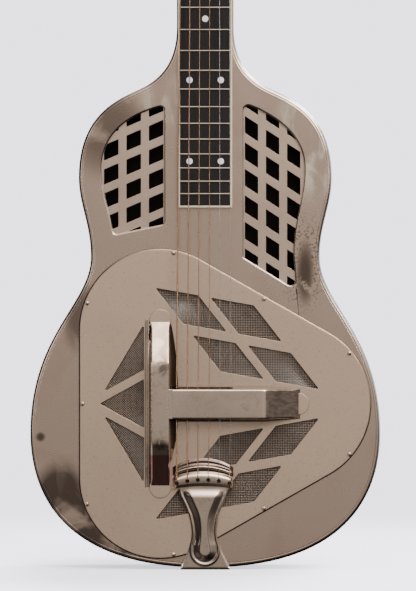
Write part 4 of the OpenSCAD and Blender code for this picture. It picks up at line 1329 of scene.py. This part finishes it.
class GUITAR_OT_handrest(bpy.types.Operator):
    """Models the T-shaped handrest: two hoods, their flanges, screw tabs and the window for the strings"""

    bl_idname = "guitar.handrest"
    bl_label = "Handrest"

    def execute(self, context):
        upright = thick(upright_hood(), REST_WALL)
        cross = cross_hood()
        delete_faces(cross, string_window)
        thick(cross, REST_WALL)
        fold = folded_strip()
        places = ((UPRIGHT_X, BRIDGE_Z - RUN), (UPRIGHT_X, BRIDGE_Z + RUN), (CROSS_END - 2 * MM, BRIDGE_Z))
        tabs = [flat("tab", [arc(place, TAB_RADIUS, 0, 355, 71)], COVER_FRONT - 0.4 * MM,
                     COVER_FRONT + 0.8 * MM, 0.35 * MM) for place in places]
        dress(smooth(join(*tabs, name="handrest_tabs")), "polished_metal", "handrest", finish="cover_metal")
        rest = join(upright, cross, fold, name="handrest_hoods")
        dress(smooth(rest, 40), "polished_metal", "handrest")
        return {"FINISHED"}


# ---- tailpiece
TAIL_LEAN = 2.2 * MM
HEAD_LOW = 84.6 * MM
HEAD_HIGH = 113 * MM
HEAD_UPPER_ARC = 55 * MM
HEAD_LOWER_ARC = 180 * MM
HEAD_TOP = 6.1 * MM
BOSS_Z = 19 * MM
BOSS_RADIUS = 12.6 * MM
BOSS_END = 30 * MM
LIP_HEIGHT = 0.8 * MM
LIP_WIDTH = 1.1 * MM
HEAD_HALF = (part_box("tailpiece")[1][0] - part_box("tailpiece")[0][0]) / 2
TAIL_CENTRE = middle("tailpiece", 0)
STEM_FRONT = COVER_FRONT + 2 * MM
HEAD_TAPER = 3.4 * MM
FOOT_HALF = 24.8 * MM
# Half widths of the stem and of its rib against the height, and heights of the head's bands against the
# distance from its upper edge, all in millimetres
STEM_HALF = [(0, 24.8), (4.5, 24.4), (17, 17.9), (29, 13.6), (38, 12.5), (46, 13.2), (56, 15.2), (66, 19.3),
             (75, 23.4), (81, 25.6), (90, 25.8)]
CREST_HALF = [(0, 0.4), (9, 0.5), (12, 3.6), (18, 4.4), (24, 3.8), (32, 2.6), (42, 2.2), (52, 2.8), (60, 5),
              (68, 8.6), (78, 12.4), (90, 15)]
BAND_HEIGHTS = [(0, 2.0), (1.4, 3.4), (4.6, 3.6), (6.2, 2.3), (7.0, 4.6), (8.6, 7.2), (10.0, 6.4),
                (11.4, 3.2), (13.6, 2.8), (15.2, 4.6), (17.0, 5.9), (19.4, 6.0), (21.6, 6.0), (24.0, 5.9),
                (27.0, 5.6), (28.4, 3.2)]


def smooth_read(points, value):
    """Reads straight between pairs and averages round the value, so that the line has no corners."""
    total = 0
    for shift in (-1.6, -0.8, 0, 0.8, 1.6):
        v = min(points[-1][0], max(points[0][0], value + shift))
        for (a, low), (b, high) in zip(points, points[1:]):
            if a <= v <= b:
                total += low + (high - low) * (v - a) / (b - a)
                break
    return total / 5


def stem_form():
    """Foot, bend and stem as one strip with an embossed rib that forks towards the head."""
    foot, bend, rear = 52 * MM, 2.4 * MM, 10 * MM
    quarter = math.pi / 2 * bend
    rise = HEAD_LOW + 4 * MM

    def place(across, along):
        side = 2 * across - 1
        run = along * (foot + quarter + rise)
        if run < foot:
            return side * FOOT_HALF, rear - run * (STEM_FRONT - bend + rear) / foot, 0
        if run < foot + quarter:
            turn = (run - foot) / bend
            return (side * (FOOT_HALF - 0.1 * MM), bend - STEM_FRONT - bend * math.sin(turn),
                    bend - bend * math.cos(turn))
        z = bend + run - foot - quarter
        half = smooth_read(STEM_HALF, z / MM) * MM
        x = side * half
        crest = smooth_read(CREST_HALF, z / MM) * MM
        shoulder = max(crest + 1 * MM, min(half - 2.4 * MM, BOSS_RADIUS if z < BOSS_END else half))
        away = abs(x) if z > BOSS_Z else math.hypot(x, BOSS_Z - z)
        inside = 1 - ease((away - crest) / (shoulder - crest))
        under = ease((z / MM - 73) / 9)
        lift = tail_sizes().rib * 1.25 * inside * (1 - 0.8 * under)
        lift += LIP_HEIGHT * math.exp(-((away - shoulder - 1 * MM) / LIP_WIDTH) ** 2) * (1 - under)
        edge = 0.7 * MM * ease((abs(side) - 0.9) / 0.1)
        lean = TAIL_LEAN * z / (91 * MM)
        return x - lean, -(STEM_FRONT + lift - edge), z

    return surface("stem", 170, 84, place)


def head_form():
    """The tailpiece's head: arched bands across it, with two ridges, and ends turned back."""
    base = STEM_FRONT + 0.4 * MM

    def place(across, along):
        x = (2 * across - 1) * HEAD_HALF
        top = HEAD_HIGH - HEAD_UPPER_ARC + math.sqrt(HEAD_UPPER_ARC**2 - x * x)
        low = HEAD_LOW - HEAD_LOWER_ARC + math.sqrt(HEAD_LOWER_ARC**2 - x * x)
        z = top + (low - top) * along
        height = smooth_read(BAND_HEIGHTS, along * BAND_HEIGHTS[-1][0]) * MM
        end = ease((abs(x) - (HEAD_HALF - HEAD_TAPER)) / HEAD_TAPER)
        return TAIL_CENTRE + x, -base - min(height * (1 - 0.75 * end), HEAD_TOP), z

    return surface("head", 90, 110, place)


def string_x(i, centre, spread):
    """Where a string lies across, where all six are spread about a centre."""
    return centre + spread * (i / 5 - 0.5)


STRING_RADII = [r * MM for r in (0.71, 0.56, 0.45, 0.34, 0.23, 0.2)]
WOUND = 4
TAIL_SPREAD = 53 * MM
SADDLE_SPREAD = 55 * MM
NUT_SPREAD = 47 * MM
SADDLE_HEIGHT = 12.9 * MM
NUT_HEIGHT = 9 * MM


def keyhole_z(i):
    """Height of a keyhole, which follows the arched head."""
    return 91 * MM - string_x(i, 0, TAIL_SPREAD) ** 2 / (200 * MM)


class GUITAR_OT_tailpiece(bpy.types.Operator):
    """Models the stamped tailpiece: foot, embossed stem, ridged head and six keyholes"""

    bl_idname = "guitar.tailpiece"
    bl_label = "Tailpiece"

    def execute(self, context):
        t = tail_sizes()
        stem = thick(stem_form(), t.sheet)
        head = head_form()
        edit(head)
        bpy.ops.mesh.extrude_region_move(TRANSFORM_OT_translate={"value": (0, 0, 0)})
        done()
        for vertex in head.data.vertices:
            if vertex.select:
                vertex.co.y = -STEM_FRONT + 0.6 * MM
        edit(head)
        bpy.ops.mesh.normals_make_consistent(inside=False)
        done()
        holes = []
        for i in range(6):
            x, z = string_x(i, TAIL_CENTRE, TAIL_SPREAD), keyhole_z(i)
            half_slot, top = STRING_RADII[i] + 0.15 * MM, z + 4.4 * MM
            outline = arc((x, z), t.hole, 100, 440, 28) + [(x + half_slot, top), (x - half_slot, top)]
            holes.append(cutter("hole", [outline], STEM_FRONT - 2 * MM, STEM_FRONT + 14 * MM))
        cut(head, join(*holes))
        dress(smooth(join(stem, head, name="tailpiece_stamping"), 45), "polished_metal", "tailpiece")
        return {"FINISHED"}


# ---- strings
HEAD_TILT = math.radians(12)
ROLLER_Y = 8.5 * MM
ROLLER_RADIUS = 4.5 * MM
FIRST_ROLLER = 46 * MM
TUNER_PITCH = 38 * MM
SLOT_BRIDGE = 18 * MM
SLOT_WIDTH = 14 * MM
WINDING_TURNS = 3.4
# How far in front of the middle plane the strings cross the tailpiece's ridge
TAIL_RIDGE = COVER_FRONT + 8.2 * MM


def in_head(x, y, z):
    """A place in the headstock's own frame, whose face is y = 0 and z runs along it."""
    return Vector((x, -TOP_FRONT + y * math.cos(HEAD_TILT) + z * math.sin(HEAD_TILT),
                   NECK_END - y * math.sin(HEAD_TILT) + z * math.cos(HEAD_TILT)))


HEAD_FRAME = Matrix.Translation(in_head(0, 0, 0)) @ Matrix.Rotation(-HEAD_TILT, 4, "X")


def key_side(i):
    """Strings 1 to 3 have their keys on the bass side, the others on the treble side."""
    return -1 if i < 3 else 1


def roller_height(i):
    """Distance of a roller from the neck's end along the headstock."""
    return FIRST_ROLLER + TUNER_PITCH * (i if i < 3 else 5 - i)


def roller_x(i):
    """Where a string meets its roller across: those of the farther rollers lie nearer the middle."""
    return key_side(i) * (SLOT_BRIDGE / 2 + SLOT_WIDTH * (0.74 - 0.22 * (i if i < 3 else 5 - i)))


def string_route(i):
    """A string's middle line: keyhole, tail ridge, saddle, nut and the front of its roller."""
    radius = STRING_RADII[i]
    tail = Vector((string_x(i, -TAIL_LEAN, TAIL_SPREAD), -TAIL_RIDGE - radius, keyhole_z(i) + 3 * MM))
    return [tail + Vector((0, 4.4 * MM, -3.6 * MM)), tail + Vector((0, 1.6 * MM, -1.6 * MM)), tail,
            Vector((string_x(i, -1.5 * MM, SADDLE_SPREAD), -COVER_FRONT - SADDLE_HEIGHT, BRIDGE_Z)),
            Vector((string_x(i, 0, NUT_SPREAD), -BOARD_FRONT - NUT_HEIGHT, NECK_END)),
            in_head(roller_x(i), ROLLER_Y - ROLLER_RADIUS - radius - 0.1 * MM, roller_height(i))]


def winding(i):
    """The string's last turns round its roller."""
    radius = ROLLER_RADIUS + STRING_RADII[i] - 0.03 * MM
    step = -key_side(i) * 2.1 * STRING_RADII[i]
    count = int(WINDING_TURNS * 28)
    points = []
    for k in range(count + 1):
        turned = WINDING_TURNS * k / count
        angle = 2 * math.pi * turned
        points.append(in_head(roller_x(i) + step * turned, ROLLER_Y - radius * math.cos(angle),
                              roller_height(i) + radius * math.sin(angle)))
    return points


class GUITAR_OT_strings(bpy.types.Operator):
    """Models the four wound and two plain strings, and their windings on the rollers"""

    bl_idname = "guitar.strings"
    bl_label = "Strings"

    def execute(self, context):
        strings = [rod("string", string_route(i), STRING_RADII[i], 3) for i in range(6)]
        dress(join(*strings[:WOUND], name="wound_strings"), "string_metal", "strings")
        dress(join(*strings[WOUND:], name="plain_strings"), "string_metal", "strings", finish="plain_string")
        for i in range(6):
            coil = rod(f"winding_{i + 1}", winding(i), STRING_RADII[i], 1)
            dress(coil, "string_metal", body=f"roller_{i + 1}_body",
                  finish="string_metal" if i < WOUND else "plain_string")
        return {"FINISHED"}


# ---- headstock and tuners
def roller_profile():
    """Radius and distance along the shaft for a roller: a waisted barrel with rolled ends."""
    start = SLOT_BRIDGE / 2 + 0.5 * MM
    end = SLOT_BRIDGE / 2 + SLOT_WIDTH - 0.5 * MM
    profile = [(0, start), (ROLLER_RADIUS - 0.5 * MM, start), (ROLLER_RADIUS, start + 0.4 * MM),
               (ROLLER_RADIUS, start + 1.0 * MM)]
    for i in range(1, 12):
        t = i / 12
        profile.append((ROLLER_RADIUS - 0.3 * MM * math.sin(math.pi * t) ** 0.5,
                        start + 1.0 * MM + (end - start - 2 * MM) * t))
    return profile + [(ROLLER_RADIUS, end - 1.0 * MM), (ROLLER_RADIUS, end - 0.4 * MM),
                      (ROLLER_RADIUS - 0.5 * MM, end), (0, end)]


def shaft_profile(start, end, radius):
    """Radius and distance of a plain shaft with slightly rounded ends."""
    return [(0, start), (radius - 0.2 * MM, start), (radius, start + 0.2 * MM), (radius, end - 0.2 * MM),
            (radius - 0.2 * MM, end), (0, end)]


class GUITAR_OT_headstock(bpy.types.Operator):
    """Softens the edges of the slotted headstock and of its black face"""

    bl_idname = "guitar.headstock"
    bl_label = "Headstock"

    def execute(self, context):
        soften("headstock", "headstock_wood", "mahogany", 0.9 * MM, 3, 40)
        soften("headstock_overlay", "headstock_face", "overlay", 0.35 * MM, 2, 40)
        return {"FINISHED"}


class GUITAR_OT_rollers(bpy.types.Operator):
    """Turns one roller and one shaft and sets copies of them in the headstock's slots"""

    bl_idname = "guitar.rollers"
    bl_label = "String rollers"

    def execute(self, context):
        outer, inner = abs(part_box("gear_4")[1][0]), SLOT_BRIDGE / 2
        barrel = lathe("barrel", roller_profile(), 40)
        hole, half_hole = inner + SLOT_WIDTH * 0.3 + 0.5 * MM, 0.9 * MM
        cut(barrel, block(-8 * MM, 8 * MM, -half_hole, half_hole, hole - half_hole, hole + half_hole))
        shaft = lathe("shaft", shaft_profile(inner - 6.6 * MM, outer + 0.8 * MM, 2.0 * MM), 32)
        shaft = join(shaft, lathe("collar", shaft_profile(inner - 6.5 * MM, outer - 3.1 * MM, 2.8 * MM), 32))
        for i in range(6):
            spin = HEAD_FRAME @ Matrix.Translation((0, ROLLER_Y, roller_height(i)))
            spin = spin @ Matrix.Rotation(key_side(i) * math.pi / 2, 4, "Y")
            body = f"roller_{i + 1}_body"
            white = put(copy_of(barrel, f"roller_barrel_{i + 1}"), spin)
            steel = put(copy_of(shaft, f"roller_shaft_{i + 1}"), spin)
            dress(smooth(white), "roller_white", f"roller_{i + 1}", body=body)
            dress(smooth(steel), "roller_white", body=body, finish="tuner_metal")
        bpy.data.objects.remove(barrel)
        bpy.data.objects.remove(shaft)
        return {"FINISHED"}


KEY_REACH = 24 * MM
WORM_CENTRE = 8.4 * MM


class GUITAR_OT_buttons(bpy.types.Operator):
    """Models one key's button with its ferrule and sets a copy on each key"""

    bl_idname = "guitar.buttons"
    bl_label = "Buttons"

    def execute(self, context):
        deselect()
        bpy.ops.mesh.primitive_cylinder_add(vertices=56, radius=7.5 * MM, depth=6 * MM,
                                            rotation=(math.pi / 2, 0, 0), location=(0, 0, 9 * MM))
        disc = settle(bpy.context.object)
        bevel(disc, 2.2 * MM, 6)
        edit(disc)
        bpy.ops.mesh.bisect(plane_co=(0, 0, 2 * MM), plane_no=(0, 0, -1), clear_outer=True, use_fill=True)
        done()
        ferrule = lathe("ferrule", [(0, 0), (2.4 * MM, 0), (2.7 * MM, 0.5 * MM), (2.5 * MM, 1.4 * MM),
                                    (3.3 * MM, 2.4 * MM), (3.4 * MM, 3.2 * MM), (0, 3.2 * MM)], 32)
        button = join(disc, ferrule)
        for i in range(6):
            node = f"button_{i + 1}"
            across = middle(node, 0)
            place = HEAD_FRAME @ Matrix.Translation((across, KEY_REACH, WORM_CENTRE + roller_height(i)))
            copy = put(copy_of(button, f"key_button_{i + 1}"), place @ Matrix.Rotation(-math.pi / 2, 4, "X"))
            dress(smooth(copy, 40), "button_ivory", node, body=f"key_{i + 1}_body")
        bpy.data.objects.remove(button)
        return {"FINISHED"}


# ---- carried parts and stage
class GUITAR_OT_finishes(bpy.types.Operator):
    """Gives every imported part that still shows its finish"""

    bl_idname = "guitar.finishes"
    bl_label = "Finishes"

    def execute(self, context):
        slots = {part["node"]: part["material_slot"] for part in frame["record"]["subparts"]}
        for node, obj in frame["nodes"].items():
            finish = FINISHES["dark_brass" if node == "ball_ends" else slots[node]]
            obj.data.materials.clear()
            obj.data.materials.append(finish)
        return {"FINISHED"}


# The camera looks square on at a field of this height from this far away
VIEW_X = 2.8 * MM
VIEW_Z = 277 * MM
VIEW_DISTANCE = 4.0
VIEW_HEIGHT = 0.5975
SENSOR = 36


def lamp(name, place, aim, width, height, power, colour):
    """A soft rectangular light at a place, aimed at another."""
    deselect()
    bpy.ops.object.light_add(type="AREA", location=place)
    obj = bpy.context.object
    obj.name = name
    light = obj.data
    light.shape = "RECTANGLE"
    light.size, light.size_y = width, height
    light.energy = power
    light.color = colour
    light.spread = math.radians(60)
    obj.rotation_euler = (Vector(aim) - Vector(place)).to_track_quat("-Z", "Y").to_euler()


# How bright the seamless paper and the dark between the glows are
PAPER = 3.4
DARK = 0.025
# Soft glows that the metal mirrors: direction, how narrow and how bright
GLOWS = (((0.18, -0.62, 0.76), 3.3, 2.3), ((0.18, -0.62, 0.76), 30.0, 7.0),
         ((-0.72, -0.4, -0.56), 10.0, 1.0), ((-0.3, 0.85, 0.3), 1.6, 0.9), ((0.95, 0.3, 0.0), 8.0, 0.9))


def studio_air():
    """Plain pale surroundings, which light the guitar from above and in front and leave its sides dark."""
    world = bpy.data.worlds.new("studio")
    world.use_nodes = True
    bpy.context.scene.world = world
    nodes, links = world.node_tree.nodes, world.node_tree.links
    plain = nodes["Background"]
    plain.inputs["Color"].default_value = (*colours().floor, 1)
    place = nodes.new("ShaderNodeTexCoord")

    def maths(operation, glow, value):
        step = nodes.new("ShaderNodeMath")
        step.operation = operation
        links.new(glow, step.inputs[0])
        if isinstance(value, float):
            step.inputs[1].default_value = value
        else:
            links.new(value, step.inputs[1])
        return step.outputs[0]

    level = DARK
    for direction, power, strength in GLOWS:
        toward = nodes.new("ShaderNodeVectorMath")
        toward.operation = "DOT_PRODUCT"
        toward.inputs[1].default_value = Vector(direction).normalized()
        links.new(place.outputs["Generated"], toward.inputs[0])
        glow = maths("MAXIMUM", toward.outputs["Value"], 0.0)
        glow = maths("MULTIPLY", maths("POWER", glow, power), strength)
        level = maths("ADD", glow, level)
    soft = nodes.new("ShaderNodeBackground")
    soft.inputs["Color"].default_value = (1.0, 0.985, 0.965, 1)
    links.new(level, soft.inputs["Strength"])
    path = nodes.new("ShaderNodeLightPath")
    choice = nodes.new("ShaderNodeMixShader")
    links.new(path.outputs["Is Camera Ray"], choice.inputs[0])
    links.new(soft.outputs[0], choice.inputs[1])
    links.new(plain.outputs[0], choice.inputs[2])
    plain.inputs["Strength"].default_value = PAPER
    links.new(choice.outputs[0], nodes["World Output"].inputs["Surface"])


class GUITAR_OT_stage(bpy.types.Operator):
    """Lays a pale floor that fades into the surroundings, and sets the lights and the camera"""

    bl_idname = "guitar.stage"
    bl_label = "Stage"

    def execute(self, context):
        studio_air()
        deselect()
        bpy.ops.mesh.primitive_circle_add(vertices=96, radius=3.0, fill_type="NGON",
                                          location=(0, 0, -0.2 * MM))
        floor = settle(bpy.context.object, "floor")
        paper = colours().floor
        finish = Finish("floor", roughness=0.9)
        finish.set("Specular IOR Level", 0.0)
        finish.paint(paper, (finish.noise(40, 2.0) * 0.03, scaled(paper, 0.96)))
        x, y, _ = finish.axes()
        finish.set("Alpha", 1 - (x * x + y * y).rise(0.05, 1.2))
        # Shade that the guitar's foot throws on the paper
        shade = 1 - (((x + 0.05) / 0.19) ** 2 + ((y + 0.10) / 0.34) ** 2).rise(0.1, 1.0)
        finish.set("Emission Color", finish.mix(shade * 0.9, paper, scaled(paper, 0.45)))
        finish.set("Emission Strength", PAPER * 0.82)
        floor.data.materials.append(finish.material)
        floor.visible_glossy = floor.visible_diffuse = False
        lamp("key_light", (1.5, -2.4, 1.9), (0, 0, 0.3), 1.2, 1.2, 9, (1, 0.98, 0.95))
        lamp("fill_light", (-2.0, -2.2, 1.0), (0, 0, 0.3), 0.5, 1.8, 2, (0.97, 0.98, 1))
        lamp("rim_light", (1.3, 0.9, 1.8), (0, 0, 0.4), 0.8, 0.8, 7, (1, 1, 1))
        deselect()
        bpy.ops.object.camera_add(location=(VIEW_X, -VIEW_DISTANCE - TOP_FRONT, VIEW_Z),
                                  rotation=(math.pi / 2, 0, 0))
        camera = bpy.context.object
        camera.name = "camera"
        camera.data.sensor_width = SENSOR
        camera.data.lens = SENSOR * VIEW_DISTANCE / VIEW_HEIGHT
        camera.data.clip_end = 100
        context.scene.camera = camera
        return {"FINISHED"}


class GUITAR_PT_panel(bpy.types.Panel):
    """Sizes, colours and the steps that build the guitar"""

    bl_idname = "GUITAR_PT_panel"
    bl_label = "Resonator guitar"
    bl_space_type = "VIEW_3D"
    bl_region_type = "UI"
    bl_category = "Guitar"

    def draw(self, context):
        layout = self.layout
        for title, group in (("Body", body_sizes()), ("Cover and handrest", cover_sizes()),
                             ("Tailpiece", tail_sizes()), ("Colours", colours())):
            box = layout.box()
            box.label(text=title)
            for name in group.__annotations__:
                box.prop(group, name)
        for step in STEPS:
            layout.operator(step.bl_idname)


STEPS = (GUITAR_OT_body, GUITAR_OT_lattices, GUITAR_OT_resonators, GUITAR_OT_cover, GUITAR_OT_cloth,
         GUITAR_OT_screws, GUITAR_OT_handrest, GUITAR_OT_tailpiece, GUITAR_OT_strings, GUITAR_OT_headstock,
         GUITAR_OT_rollers, GUITAR_OT_buttons, GUITAR_OT_finishes, GUITAR_OT_stage)
GROUPS = {"guitar_body": BodySizes, "guitar_cover": CoverSizes, "guitar_tail": TailSizes,
          "guitar_colours": Colours}


def register():
    for made in (*GROUPS.values(), *STEPS, GUITAR_PT_panel):
        bpy.utils.register_class(made)
    for name, group in GROUPS.items():
        setattr(bpy.types.Scene, name, PointerProperty(type=group))


def unregister():
    for name in GROUPS:
        delattr(bpy.types.Scene, name)
    for made in reversed((*GROUPS.values(), *STEPS, GUITAR_PT_panel)):
        bpy.utils.unregister_class(made)


def main():
    register()
    FINISHES.update(all_finishes())
    for step in STEPS:
        area, name = step.bl_idname.split(".")
        getattr(getattr(bpy.ops, area), name)()
    deselect()


if __name__ == "__main__":
    main()
